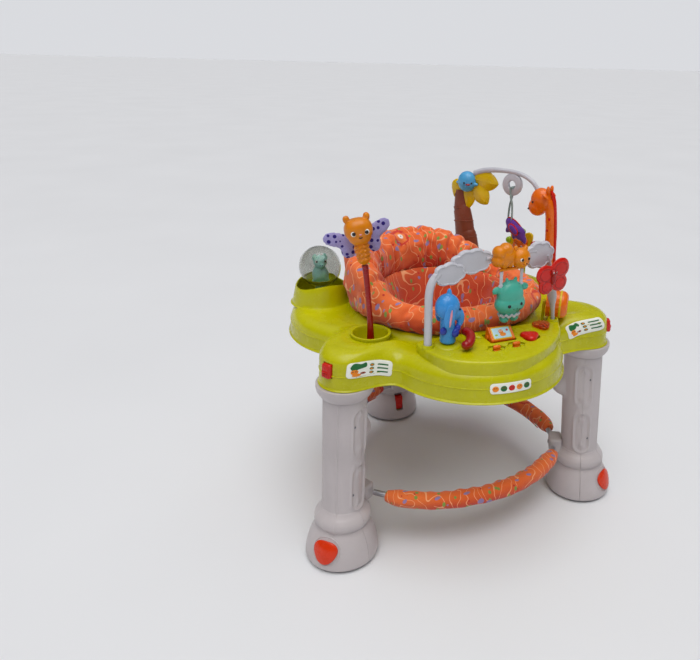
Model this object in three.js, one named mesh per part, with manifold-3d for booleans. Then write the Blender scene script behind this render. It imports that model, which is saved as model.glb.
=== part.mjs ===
// A three-legged activity jumper for a baby, in millimetres, +Z up.
// Origin: on the floor, in the middle of the three legs. The toy console faces -Y.
import * as THREE from 'three';
import { mergeVertices } from 'three/addons/utils/BufferGeometryUtils.js';
import Module from 'manifold-3d';

const wasm = await Module();
wasm.setup();

// ---------- Driving dimensions ----------
const GAP = 0.4;
const LEGS = { left: -150, right: -30, rear: 90 };
const FOOT_OFFSET = 332.5;
const LEG_TOP_OFFSET = 303;
const COLLAR_TOP = 375.6;
const LEG_LEAN = (FOOT_OFFSET - LEG_TOP_OFFSET) / 371;
const LEG_RADIUS = 41;
const RIM_LIFT = 5;
const WHEEL_RADIUS = 17.5;
const WHEEL_TRAIL = 8;
const SPRING_SEAT = 204;
const SLIDER_BOTTOM = 300;

const SKIRT_BOTTOM = 376;
const TRAY_TOP_LOW = 431;
const LEG_LOBE_RISE = 15;
const FRONT_LOBE_RISE = 5;
const TOY_LOBES = [
  { angle: -93, offset: 160, radius: 176 }, { angle: 30, offset: 165, radius: 183 },
  { angle: 150, offset: 157, radius: 174 },
];
const LEG_LOBE = { offset: 297, radius: 54, flareReach: 247, flareSlope: 0.65, end: 10.3 };
const TRAY_WALL = 3.2;
const OPENING_RADIUS = 178;

const CONSOLE_TOP = 452;
const CONSOLE_WALL = 4;
const CONSOLE = { x: 25, y: -143, long: 201, short: 146, turn: 52.2, back: -187 };

const CUP = { offset: 232, angle: -150, radius: 35, rim: 449.5, floor: 402 };
const GLOBE = { offset: 264, angle: 150, height: 503, radius: 44 };
const FOOT_RING = { height: 115, centre: 55, radius: 300, tube: 6, pad: 20 };
const SEAT_BACK_ANGLE = 119;
const SEAT_PAD_RADIUS = 204;
const SEAT_PAD_FRONT = 502;
const SEAT_BACK_RISE = 68;

const REAR_LOBE_ANGLE = 30;
const REAR_ARCH_OFFSET = 260;
const FRONT_ARCH = { x: 8, y: -207, turn: 6.1, halfSpan: 140 };

// ---------- Finishes ----------
function finish(color, roughness, metalness = 0) {
  return new THREE.MeshStandardMaterial({ color, roughness, metalness });
}
const LIME = finish(0xbac80c, 0.25);
const SHELL_WHITE = finish(0xcac4ca, 0.45);
const PLUSH = finish(0xf07038, 0.9);
const STEEL = finish(0x9a9aa0, 0.35, 0.9);
const RED = finish(0xd02818, 0.3);
const DARK_RED = finish(0x9a1410, 0.35);
const ORANGE = finish(0xf08a1a, 0.35);
const AMBER = finish(0xe89a28, 0.4);
const WHITE = finish(0xe8e6ea, 0.35);
const TEAL = finish(0x58b8a0, 0.35);
const BLUE = finish(0x3c8ee0, 0.35);
const LAVENDER = finish(0xa8a0d8, 0.85);
const PURPLE = finish(0x6a3a98, 0.8);
const BROWN = finish(0x8a4630, 0.5);
const YELLOW = finish(0xe8b418, 0.4);
const SMOKE = finish(0x8a8478, 0.08);
const GREY = finish(0x55555c, 0.5);

// ---------- Solid helpers ----------
const radians = THREE.MathUtils.degToRad;
const vec = (x, y, z) => new THREE.Vector3(x, y, z);

// Joins shared vertices, drops collapsed triangles and turns the faces outward.
function toSolid(geometry) {
  const bare = geometry.clone();
  bare.deleteAttribute('normal');
  bare.deleteAttribute('uv');
  const merged = mergeVertices(bare, 1e-3);
  const points = merged.attributes.position.array;
  const triangles = [];
  let volume = 0;
  for (let i = 0; i < merged.index.count; i += 3) {
    const [a, b, c] = [0, 1, 2].map((k) => merged.index.getX(i + k));
    if (a === b || b === c || c === a) continue;
    triangles.push(a, b, c);
    const [p, q, r] = [a, b, c].map((k) => new THREE.Vector3().fromArray(points, 3 * k));
    volume += p.dot(q.cross(r));
  }
  if (volume < 0) triangles.reverse();
  const mesh = new wasm.Mesh({
    numProp: 3,
    vertProperties: new Float32Array(points),
    triVerts: new Uint32Array(triangles),
  });
  return new wasm.Manifold(mesh);
}

function toGeometry(solid) {
  const mesh = solid.getMesh();
  const geometry = new THREE.BufferGeometry();
  const positions = new THREE.BufferAttribute(Float32Array.from(mesh.vertProperties), 3);
  geometry.setAttribute('position', positions);
  geometry.setIndex(new THREE.BufferAttribute(Uint32Array.from(mesh.triVerts), 1));
  geometry.computeVertexNormals();
  return geometry;
}

function join(...geometries) {
  return toGeometry(geometries.map(toSolid).reduce((sum, next) => sum.add(next)));
}

function cut(geometry, ...tools) {
  return toGeometry(tools.map(toSolid).reduce((left, tool) => left.subtract(tool), toSolid(geometry)));
}

function clip(geometry, tool) {
  return toGeometry(toSolid(geometry).intersect(toSolid(tool)));
}

// ---------- Shape helpers ----------
const box = (x, y, z) => new THREE.BoxGeometry(x, y, z);

function rod(radius, length, sides = 16) {
  return new THREE.CylinderGeometry(radius, radius, length, sides).rotateX(Math.PI / 2);
}

function ball(rx, ry = rx, rz = rx, sides = 7) {
  return new THREE.SphereGeometry(1, sides, Math.round(sides * 0.6)).rotateX(Math.PI / 2).scale(rx, ry, rz);
}

// Turns a closed [radius, height] profile about +Z.
function lathe(profile, sides = 28) {
  const points = profile.map(([r, z]) => new THREE.Vector2(r, z));
  const last = profile.at(-1);
  const first = profile[0];
  if (last[0] > 0 || first[0] > 0) points.push(points[0].clone());
  return new THREE.LatheGeometry(points, sides).rotateX(Math.PI / 2);
}

function circleShape(radius, sides, hole = 0) {
  const spin = (count, r) => Array.from({ length: count }, (_, i) => {
    const turn = (2 * Math.PI * i) / count;
    return new THREE.Vector2(r * Math.cos(turn), r * Math.sin(turn));
  });
  const shape = new THREE.Shape(spin(sides, radius));
  if (hole > 0) shape.holes.push(new THREE.Path(spin(sides, hole).reverse()));
  return shape;
}

function tube(points, radius, steps = 12, sides = 8, hole = 0) {
  const path = new THREE.CatmullRomCurve3(points);
  return new THREE.ExtrudeGeometry(circleShape(radius, sides, hole), { steps, extrudePath: path });
}

// A plate cut from an outline in XY, its top edge bevelled, standing on z = 0.
function plate(outline, height, bevel = 0) {
  const settings = { depth: height - 2 * bevel, bevelEnabled: bevel > 0, bevelSegments: 1 };
  Object.assign(settings, { bevelThickness: bevel, bevelSize: bevel, bevelOffset: -bevel });
  return new THREE.ExtrudeGeometry(new THREE.Shape(outline), settings).translate(0, 0, bevel);
}

// Round sections strung along a list of { at, radius }, closed at both ends.
function loft(stations, sides = 8) {
  const positions = [];
  const indices = [];
  stations.forEach(({ at, radius }) => {
    for (let i = 0; i < sides; i += 1) {
      const turn = (2 * Math.PI * i) / sides;
      positions.push(at.x + radius * Math.cos(turn), at.y + radius * Math.sin(turn), at.z);
    }
  });
  for (let row = 0; row < stations.length - 1; row += 1) {
    for (let i = 0; i < sides; i += 1) {
      const next = (i + 1) % sides;
      const [a, b] = [row * sides + i, row * sides + next];
      indices.push(a, b, b + sides, a, b + sides, a + sides);
    }
  }
  const top = (stations.length - 1) * sides;
  for (let i = 1; i < sides - 1; i += 1) {
    indices.push(0, i + 1, i, top, top + i, top + i + 1);
  }
  const geometry = new THREE.BufferGeometry();
  geometry.setAttribute('position', new THREE.Float32BufferAttribute(positions, 3));
  geometry.setIndex(indices);
  return toGeometry(toSolid(geometry));
}

// A ring whose closed [radius, height] section changes with the angle.
function ringSolid(sectionAt, turns) {
  const positions = [];
  const indices = [];
  const rows = sectionAt(0).length;
  turns.forEach((turn) => {
    sectionAt(turn).forEach(([r, z]) => positions.push(r * Math.cos(turn), r * Math.sin(turn), z));
  });
  for (let i = 0; i < turns.length; i += 1) {
    for (let j = 0; j < rows; j += 1) {
      const [near, far] = [i * rows, ((i + 1) % turns.length) * rows];
      const next = (j + 1) % rows;
      indices.push(near + j, far + j, far + next, near + j, far + next, near + next);
    }
  }
  const geometry = new THREE.BufferGeometry();
  geometry.setAttribute('position', new THREE.Float32BufferAttribute(positions, 3));
  geometry.setIndex(indices);
  return toGeometry(toSolid(geometry));
}

// A slightly larger copy, used as a cutter that leaves a gap.
function grown(geometry) {
  const step = 0.6;
  const shifts = [[step, 0, 0], [-step, 0, 0], [0, step, 0], [0, -step, 0], [0, 0, step], [0, 0, -step]];
  return join(geometry, ...shifts.map((shift) => geometry.clone().translate(...shift)));
}

// ---------- The object ----------
const jumper = new THREE.Group();

function piece(parent, name, geometry, material) {
  const mesh = new THREE.Mesh(geometry, material);
  mesh.name = name;
  parent.add(mesh);
  return mesh;
}

// A group turned about +Z, so that its local +X points outward at that angle.
function turned(angle) {
  const group = new THREE.Group();
  group.rotation.z = radians(angle);
  jumper.add(group);
  return group;
}

function polar(offset, angle, z) {
  return [offset * Math.cos(radians(angle)), offset * Math.sin(radians(angle)), z];
}

// ---------- Legs ----------
const LEG_OUTER = [
  [70, RIM_LIFT], [72.5, 14], [63, 44], [50, 65], [55.5, 77], [55.5, 95], [44, 113],
  [LEG_RADIUS, 130], [LEG_RADIUS, 348], [34, 349], [34, 370],
];
const LEG_INNER = [
  [31.2, 370], [31.2, 344], [37, 338], [37, 118], [46, 92], [46, 67], [66, 24], [66.5, RIM_LIFT],
];

// The lean of a leg: level sections slide inward as they rise.
function lean(geometry) {
  const shear = new THREE.Matrix4().makeShear(0, 0, 0, 0, -LEG_LEAN, 0);
  return geometry.applyMatrix4(shear).translate(FOOT_OFFSET, 0, 0);
}

const ROCKER = { x: -57, z: 56, width: 18, height: 36, depth: 12 };
const PLUNGER = { x: -52, width: 24, depth: 8, bottom: 6.5, top: 37.4 };
const BRACKET = { x: -55, depth: 32, width: 44, height: 34 };

// The part of a disc that lies on the inner side of the leg, where it meets the wall.
function inward(geometry) {
  return clip(geometry, box(100, 200, 20).translate(-55, 0, 0));
}

function legShells() {
  const half = 200;
  const shell = lathe([...LEG_OUTER, ...LEG_INNER], 12);
  const outer = clip(shell, box(half, half, 2 * half).translate(half / 2 + GAP / 2, 0, half));
  let inner = clip(shell, box(half, half, 2 * half).translate(-half / 2 - GAP / 2, 0, half));
  const boss = join(
    box(26, 40, 34).translate(-47, 0, 258),
    box(12, 34, 22).translate(-40, 0, 284),
  );
  const bracket = box(BRACKET.depth, BRACKET.width, BRACKET.height)
    .translate(BRACKET.x, 0, FOOT_RING.height);
  const casterPlate = join(rod(46, 5, 12), inward(rod(54, 5, 12))).translate(0, 0, 55);
  const springPlate = join(rod(35, 4, 12), inward(rod(39, 4, 12))).translate(0, 0, SPRING_SEAT - 2);
  inner = join(inner, boss, bracket, casterPlate, springPlate);
  const hollow = lathe([[0, 45], [36, 45], [36, 336], [0, 336]], 12);
  const bore = cut(hollow, box(80, 80, 6).translate(0, 0, 55), box(80, 80, 5).translate(0, 0, SPRING_SEAT - 2));
  inner = cut(
    inner,
    bore,
    rod(6.5, 20, 12).translate(WHEEL_TRAIL, 0, 55),
    box(PLUNGER.depth + 2, PLUNGER.width + 2, 60).translate(PLUNGER.x, 0, 50),
    box(44, ROCKER.width + 1.5, ROCKER.height + 10).translate(ROCKER.x - 6, 0, ROCKER.z),
  );
  return { outer, inner };
}

const shells = legShells();

function brakeRocker() {
  const lever = box(ROCKER.depth, ROCKER.width, ROCKER.height);
  const nose = box(5, ROCKER.width, 12).translate(-5, 0, 10);
  return join(lever, nose);
}

function brakePlunger() {
  const length = PLUNGER.top - PLUNGER.bottom;
  const stem = box(PLUNGER.depth, PLUNGER.width, length);
  return stem.translate(PLUNGER.x, 0, PLUNGER.bottom + length / 2);
}

function casterFork() {
  const stem = rod(5.5, 26, 8).translate(0, 0, 49);
  const cap = rod(15, 6, 12).translate(0, 0, 40);
  const web = box(26, 6, 30).translate(-WHEEL_TRAIL / 2, 0, 26);
  return cut(join(stem, cap, web), rod(3.4, 20, 10).rotateX(Math.PI / 2).translate(-WHEEL_TRAIL, 0, WHEEL_RADIUS));
}

function casterWheels() {
  const tread = (side) => rod(WHEEL_RADIUS, 9, 16).rotateX(Math.PI / 2).translate(0, side * 8.2, 0);
  const axle = rod(3, 16, 10).rotateX(Math.PI / 2);
  return join(tread(1), tread(-1), axle);
}

function legSpring() {
  return lathe([[17, SPRING_SEAT + GAP], [23, SPRING_SEAT + GAP], [23, SLIDER_BOTTOM - GAP], [17, SLIDER_BOTTOM - GAP]], 12);
}

Object.entries(LEGS).forEach(([side, angle]) => {
  const leg = turned(angle);
  piece(leg, `${side}_leg_outer_shell`, lean(shells.outer.clone()), SHELL_WHITE);
  piece(leg, `${side}_leg_inner_shell`, lean(shells.inner.clone()), SHELL_WHITE);
  piece(leg, `${side}_leg_spring`, lean(legSpring()), STEEL);
  const rockerX = FOOT_OFFSET - LEG_LEAN * ROCKER.z + ROCKER.x;
  piece(leg, `${side}_brake_rocker`, brakeRocker(), RED).position.set(rockerX, 0, ROCKER.z);
  piece(leg, `${side}_brake_plunger`, brakePlunger(), ORANGE).position.set(FOOT_OFFSET - 1, 0, 0);
  const casterX = FOOT_OFFSET + WHEEL_TRAIL - LEG_LEAN * 55;
  piece(leg, `${side}_caster_fork`, casterFork(), GREY).position.set(casterX, 0, 0);
  piece(leg, `${side}_caster_wheels`, casterWheels(), WHITE)
    .position.set(casterX - WHEEL_TRAIL, 0, WHEEL_RADIUS);
});

// ---------- Foot ring ----------
// An arc on the front side between two legs, from x = from to x = to.
function footArc(from, to, count) {
  const { height, centre, radius } = FOOT_RING;
  return Array.from({ length: count }, (_, i) => {
    const x = from + ((to - from) * i) / (count - 1);
    return vec(x, centre - Math.sqrt(radius * radius - x * x), height);
  });
}

const TUBE_END = 214;
const PAD_SPAN = { front: [-190, 196], right: [-192, 192], left: [-192, 192] };
const ARC_TURN = { front: 0, right: 120, left: -120 };
Object.entries(PAD_SPAN).forEach(([side, [from, to]]) => {
  const group = turned(ARC_TURN[side]);
  const bare = tube(footArc(-TUBE_END, TUBE_END, 9), FOOT_RING.tube, 11, 8);
  const sleeve = tube(footArc(from, to, 9), FOOT_RING.pad, 10, 8, FOOT_RING.tube + 1.5);
  piece(group, `${side}_foot_tube`, bare, STEEL);
  piece(group, `${side}_foot_pad`, sleeve, PLUSH);
});

// ---------- Tray ----------
function smoothMax(a, b, k) {
  const h = Math.max(k - Math.abs(a - b), 0) / k;
  return Math.max(a, b) + (h * h * k) / 4;
}

function angleFromLeg(turn) {
  const third = (2 * Math.PI) / 3;
  const local = (((turn - Math.PI / 2) % third) + third) % third;
  return Math.min(local, third - local);
}

// A round end over each leg, whose sides flare out into the toy lobes.
function legLobe(turn) {
  const { offset, radius, flareReach, flareSlope, end } = LEG_LOBE;
  const away = angleFromLeg(turn);
  if (away > radians(end)) return flareReach / (Math.sin(away) + flareSlope * Math.cos(away));
  return offset * Math.cos(away) + Math.sqrt(radius ** 2 - (offset * Math.sin(away)) ** 2);
}

function trayRadius(turn) {
  const toys = TOY_LOBES.map(({ angle, offset, radius }) => {
    const away = Math.abs(THREE.MathUtils.euclideanModulo(turn - radians(angle) + Math.PI, 2 * Math.PI) - Math.PI);
    return { away, reach: offset * Math.cos(away) + Math.sqrt(radius ** 2 - (offset * Math.sin(away)) ** 2) };
  });
  const nearest = toys.reduce((best, next) => (next.away < best.away ? next : best));
  return smoothMax(nearest.reach, legLobe(turn), 24);
}

function legWeight(turn) {
  return 1 - THREE.MathUtils.smoothstep(angleFromLeg(turn), radians(8), radians(22));
}

function frontWeight(turn) {
  return THREE.MathUtils.smoothstep(Math.cos(turn + radians(93)), 0.72, 0.9);
}

// Closer together over the legs, where the outline turns sharply.
const TRAY_TURNS = [90, 210, 330].flatMap((leg) => [-47, -35, -25, -18, -13, -9, -4.5, 0, 4.5, 9, 13, 18, 25,
  35, 47, 60].map((step) => radians(leg + step)));

// The tray's section: rim of the seat opening, top, rounded shoulder, skirt, then back inside.
function traySection(turn) {
  const r = trayRadius(turn);
  const top = TRAY_TOP_LOW + LEG_LOBE_RISE * legWeight(turn) + FRONT_LOBE_RISE * frontWeight(turn);
  const crest = Math.max(r - 62, 215);
  const outside = [
    [OPENING_RADIUS, 406], [OPENING_RADIUS, 437], [184, 443], [206, TRAY_TOP_LOW],
    [crest, top], [r - 20, top - 3.5], [r - 7, top - 14], [r - 2, top - 36], [r + 1, SKIRT_BOTTOM],
  ];
  const w = TRAY_WALL;
  const inside = [
    [r - 2.2, SKIRT_BOTTOM], [r - 5.4, top - 39], [r - 24, top - 8.5], [crest, top - w],
    [206, TRAY_TOP_LOW - w], [OPENING_RADIUS + w + 2, 438], [OPENING_RADIUS + w, 406],
  ];
  return [...outside, ...inside];
}

// The console's outline: the front of a turned ellipse, kept inside the tray's edge.
function consoleOutline(grow, inset, backShift = 0) {
  const { x, y, long, short, turn, back } = CONSOLE;
  const [c, d] = [Math.cos(radians(turn)), Math.sin(radians(turn))];
  const [a, b] = [long + grow, short + grow];
  const shift = Math.atan2(a * d, b * c);
  const dip = Math.asin((back + backShift - y) / Math.hypot(a * d, b * c));
  const steps = 18;
  return Array.from({ length: steps + 1 }, (_, i) => {
    const t = Math.PI - dip + ((Math.PI + 2 * dip) * i) / steps - shift;
    const point = new THREE.Vector2(x + a * Math.cos(t) * c - b * Math.sin(t) * d,
      y + a * Math.cos(t) * d + b * Math.sin(t) * c);
    return point.clampLength(0, trayRadius(point.angle()) - inset);
  });
}

function cupWall() {
  const { radius, rim, floor } = CUP;
  const profile = [
    [0, floor], [radius - 4, floor], [radius, floor + 6], [radius, rim],
    [radius - 4, rim], [radius - 4, floor + 5], [0, floor + 5],
  ];
  return lathe(profile, 14).translate(...polar(CUP.offset, CUP.angle, 0));
}

function globeCradle() {
  const base = TRAY_TOP_LOW - 4;
  const profile = [[61, base], [53, 471], [49.5, 471], [57.5, base]];
  return lathe(profile, 14).translate(...polar(GLOBE.offset, GLOBE.angle, 0));
}

const TIGER = { offset: 306, side: -12, height: 505, radius: 44 };
const BARREL = { x: 171, y: -168, z: 474, radius: 27, length: 42, turn: -38 };
const LATCH = { width: 20, height: 26, z: 413, inner: 336, outer: 353 };

function tigerPost() {
  const post = box(8, 14, TIGER.height - 424).translate(TIGER.offset + 16, TIGER.side, (TIGER.height + 424) / 2);
  const pin = rod(3.5, 16, 10).rotateY(Math.PI / 2).translate(TIGER.offset + 6, TIGER.side, TIGER.height - 5);
  return join(post, pin).rotateZ(radians(REAR_LOBE_ANGLE));
}

function barrelPost() {
  const post = box(6, 12, 52).translate(-BARREL.length / 2 - 5, 0, -20);
  const pin = rod(3.5, BARREL.length, 10).rotateY(Math.PI / 2).translate(-4, 0, 0);
  return join(post, pin).rotateZ(radians(BARREL.turn)).translate(BARREL.x, BARREL.y, BARREL.z);
}

function trayTop() {
  const windows = Object.values(LEGS).map((angle) => {
    const opening = box(30, LATCH.width + 1.2, LATCH.height + 1.2).translate(346, 0, LATCH.z);
    return opening.rotateZ(radians(angle));
  });
  const consoleHole = plate(consoleOutline(-13.4, 26.4, GAP), 80).translate(0, 0, 395);
  const cupHole = rod(CUP.radius - 2, 40, 16).translate(...polar(CUP.offset, CUP.angle, 441));
  const globeHole = rod(55, 20, 18).translate(...polar(GLOBE.offset, GLOBE.angle, TRAY_TOP_LOW));
  const shell = cut(ringSolid(traySection, TRAY_TURNS), consoleHole, cupHole, globeHole, ...windows);
  const floor = lathe([[0, 423], [59, 423], [59, 428], [6, 428], [6, 442], [0, 442]], 14)
    .translate(...polar(GLOBE.offset, GLOBE.angle, 0));
  return join(shell, cupWall(), globeCradle(), floor, tigerPost(), barrelPost());
}

// The white underframe: bearing ring, three arms, collars and the sliders inside the legs.
function trayBase() {
  const ring = lathe([[150, 384], [187, 384], [187, 403.5], [150, 403.5]], 24);
  const collar = lathe([
    [0, 394], [42, 394], [42, COLLAR_TOP], [53, COLLAR_TOP], [53, 351], [46, 351],
    [46, 369.6], [38.5, 369.6], [38.5, 391], [28, 391], [28, SLIDER_BOTTOM], [24, SLIDER_BOTTOM],
    [24, 391], [0, 391],
  ], 10);
  const cups = Object.values(LEGS).flatMap((angle) => {
    const arm = box(90, 60, 8).translate(222, 0, 388).rotateZ(radians(angle));
    return [arm, lean(collar.clone()).rotateZ(radians(angle))];
  });
  return join(ring, ...cups);
}

piece(jumper, 'tray_top', trayTop(), LIME);
piece(jumper, 'tray_base', trayBase(), SHELL_WHITE);
Object.entries(LEGS).forEach(([side, angle]) => {
  const depth = LATCH.outer - LATCH.inner;
  const latch = box(depth, LATCH.width, LATCH.height).translate(LATCH.inner + depth / 2, 0, LATCH.z);
  piece(turned(angle), `${side}_latch`, latch, RED);
});

// ---------- Seat ----------
function seatRing() {
  return lathe([[144, 404], [174, 404], [174, 440], [169, 440], [167, 410], [144, 410]], 24);
}

function seatPadSection(turn) {
  const away = Math.cos(turn - radians(SEAT_BACK_ANGLE));
  const rise = SEAT_BACK_RISE * THREE.MathUtils.smoothstep(away, -0.3, 0.9);
  const top = SEAT_PAD_FRONT + rise;
  const edge = SEAT_PAD_RADIUS;
  return [
    [142, 446], [182, 445], [190, 455], [edge, 473], [edge - 1, 480], [edge - 6, 493],
    [edge - 8, top - 22], [edge - 16, top - 6], [edge - 31, top], [148, top - 3], [134, top - 18], [129, 470],
  ];
}

function seatSling() {
  const bucket = lathe([
    [0, 285], [48, 287], [84, 308], [103, 350], [113, 400], [126, 468], [121, 468], [108, 401],
    [98, 351], [80, 313], [46, 293], [0, 291],
  ], 16);
  const holes = [-38, 38].map((side) => rod(40, 120, 10)
    .rotateY(radians(68)).translate(88, 0, 330).rotateZ(radians(side)));
  return cut(bucket, ...holes).rotateZ(radians(SEAT_BACK_ANGLE + 180));
}

piece(jumper, 'seat_ring', seatRing(), WHITE);
const PAD_TURNS = Array.from({ length: 24 }, (_, i) => (2 * Math.PI * i) / 24);
piece(jumper, 'seat_pad', ringSolid(seatPadSection, PAD_TURNS), PLUSH);
piece(jumper, 'seat_sling', seatSling(), PLUSH);

// ---------- Lizard globe ----------
function globeDome() {
  const { radius: r } = GLOBE;
  const hole = 15;
  const rows = 6;
  const arc = (size) => Array.from({ length: rows + 1 }, (_, i) => {
    const start = Math.asin(hole / size);
    const turn = start + ((Math.PI - start) * i) / rows;
    return [i === rows ? 0 : size * Math.sin(turn), -size * Math.cos(turn)];
  });
  return lathe([...arc(r), ...arc(r - 2.5).reverse()], 16);
}

function lizard() {
  const hub = lathe([[7, -57], [13, -57], [13, -36], [19, -33], [19, -30], [0, -30], [0, -40], [7, -40]], 16);
  const body = ball(12, 9, 20).translate(0, 0, -13);
  const head = ball(13, 12, 8).translate(3, 0, 11);
  return join(hub, body, head);
}

const globeAt = polar(GLOBE.offset, GLOBE.angle, GLOBE.height);
piece(jumper, 'globe_dome', globeDome(), SMOKE).position.set(...globeAt);
piece(jumper, 'lizard', lizard(), TEAL).position.set(...globeAt);

// ---------- Dragonfly ----------
const STEM_TOP = { x: -6.4, y: 3, z: 576 };
function dragonflyStem() {
  return loft([
    { at: vec(0, 0, CUP.floor + 5.6), radius: 2 }, { at: vec(0, 0, CUP.floor + 10), radius: 11.5 },
    { at: vec(0, 0, CUP.floor + 15), radius: 8 },
    { at: vec(0, 0, 470), radius: 4.5 }, { at: vec(-1.6, 0.8, 520), radius: 4.5 },
    { at: vec(STEM_TOP.x, STEM_TOP.y, STEM_TOP.z), radius: 5.5 },
  ]);
}

function dragonflyBody() {
  const tail = loft([
    { at: vec(0, 0, 0), radius: 2 }, { at: vec(0, 0, 4), radius: 9 }, { at: vec(0, 0, 14), radius: 12 },
    { at: vec(0, 0, 34), radius: 13 }, { at: vec(0, 0, 46), radius: 10 },
  ]);
  const head = ball(23, 27, 24, 8).translate(0, 0, 60);
  const ears = [-1, 1].map((side) => ball(6, 6, 8, 6).translate(0, side * 16, 81));
  return join(tail, head, ...ears);
}

function dragonflyWings() {
  const outline = [];
  const steps = 16;
  for (let i = 0; i < steps; i += 1) {
    const turn = (2 * Math.PI * i) / steps;
    const reach = 20 + 42 * Math.abs(Math.cos(turn)) ** 0.8;
    outline.push(new THREE.Vector2(reach * Math.cos(turn), 0.62 * reach * Math.sin(turn)));
  }
  return plate(outline, 8).rotateX(Math.PI / 2).rotateZ(Math.PI / 2);
}

// The dragonfly leans over its stem and faces the front.
const [stemX, stemY] = polar(CUP.offset, CUP.angle, 0);
const dragonfly = turned(-100);
dragonfly.rotation.order = 'ZYX';
dragonfly.rotation.x = radians(9);
dragonfly.position.set(stemX + STEM_TOP.x, stemY + STEM_TOP.y, STEM_TOP.z + 0.7);
piece(jumper, 'dragonfly_stem', dragonflyStem(), DARK_RED).position.set(stemX, stemY, 0);
piece(dragonfly, 'dragonfly_body', dragonflyBody(), AMBER);
piece(dragonfly, 'dragonfly_wings', dragonflyWings(), LAVENDER).position.set(-32, 0, 37.5);

// ---------- Rear toy arch ----------
const rear = turned(REAR_LOBE_ANGLE);
const D = REAR_ARCH_OFFSET;
const HOOK_HEIGHT = 650;

function palmTrunk() {
  const stem = loft([
    { at: vec(0, 110, TRAY_TOP_LOW + GAP), radius: 36 }, { at: vec(0, 116, 480), radius: 32 },
    { at: vec(0, 127, 540), radius: 26 }, { at: vec(0, 136, 590), radius: 20 },
    { at: vec(0, 140, 622), radius: 15 },
  ]);
  return stem.scale(0.68, 1, 1).translate(D, 0, 0);
}

function palmCrown() {
  const leaf = (length, angle, y, z) => ball(9, length, 15, 6)
    .rotateX(radians(angle)).translate(D, y, z);
  const bird = ball(20, 24, 24, 8).translate(D - 8, 119, 644);
  return join(
    leaf(36, 8, 72, 650), leaf(34, 50, 84, 620), leaf(32, 82, 122, 612), leaf(24, -60, 148, 622), bird,
  );
}

const ARCH_LINE = [[104, 664], [70, 675], [22, 679], [-20, 676], [-52, 662], [-70, 640]];
function rearArchTube() {
  const rail = tube(ARCH_LINE.map(([y, z]) => vec(D, y, z)), 5, 14, 8);
  const ring = rod(25, 10, 16).rotateY(Math.PI / 2).translate(D, 0, HOOK_HEIGHT + 1);
  const eye = rod(9, 20, 16).rotateY(Math.PI / 2).translate(D, 0, HOOK_HEIGHT);
  return cut(join(rail, ring), eye);
}

function giraffePost() {
  const neck = loft([
    { at: vec(D, -111, TRAY_TOP_LOW + GAP), radius: 20 }, { at: vec(D, -111, 470), radius: 14 },
    { at: vec(D, -108, 540), radius: 11 }, { at: vec(D, -101, 606), radius: 11 },
    { at: vec(D, -91, 630), radius: 12 },
  ]);
  const head = ball(24, 30, 34, 8).rotateX(radians(-20)).translate(D, -75, 622);
  return join(neck, head);
}

function hangingElephant() {
  const strap = box(3, 12, 56).translate(0, 0, -55);
  const loops = [-7, 7].map((x) => box(2, 8, 27).translate(x, 0, -17));
  const knot = box(16, 8, 4).translate(0, 0, -29);
  const bridge = box(16, 8, 4).translate(0, 0, -5.5);
  const body = ball(10, 35, 19, 8).rotateX(radians(40)).translate(0, -16, -99);
  return join(strap, ...loops, knot, bridge, body);
}

function tigerToy() {
  const outline = [];
  const steps = 20;
  for (let i = 0; i < steps; i += 1) {
    const turn = (2 * Math.PI * i) / steps;
    const reach = TIGER.radius - 7 + 7 * Math.cos(5 * turn);
    outline.push(new THREE.Vector2(reach * Math.cos(turn), reach * Math.sin(turn)));
  }
  const star = plate(outline, 8, 2).rotateY(Math.PI / 2).translate(-4, 0, 0);
  const face = ball(10, 22, 22, 8).translate(-4, 0, 0);
  return cut(join(star, face), rod(4.2, 26, 10).rotateY(Math.PI / 2).translate(12, 0, 0));
}

const trunk = palmTrunk();
const arch = rearArchTube();
piece(rear, 'palm_trunk', trunk, BROWN);
piece(rear, 'palm_crown', cut(palmCrown(), grown(trunk), grown(arch)), YELLOW);
piece(rear, 'rear_arch_tube', arch, WHITE);
piece(rear, 'giraffe_post', cut(giraffePost(), grown(arch)), ORANGE);
piece(rear, 'hanging_elephant', hangingElephant(), PURPLE).position.set(D, 0, HOOK_HEIGHT);
piece(rear, 'tiger_toy', tigerToy(), YELLOW)
  .position.set(TIGER.offset - 2, TIGER.side, TIGER.height - 5);


// ---------- Console ----------
const DRUM = { x: 8, y: -228, z: 455, radius: 18, length: 48 };
const BUTTON = { x: 62, y: -247, radius: 18, height: 16 };
const SLIDES = { left: [-20, -270], right: [21, -268] };
const ELEPHANT = { x: -95, y: -226 };
const BEAN = { x: -67, y: -249, z: 469.5, turn: -25, tilt: 18 };
const LENS = { x: 108, y: -214, radius: 19, height: 8 };

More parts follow.
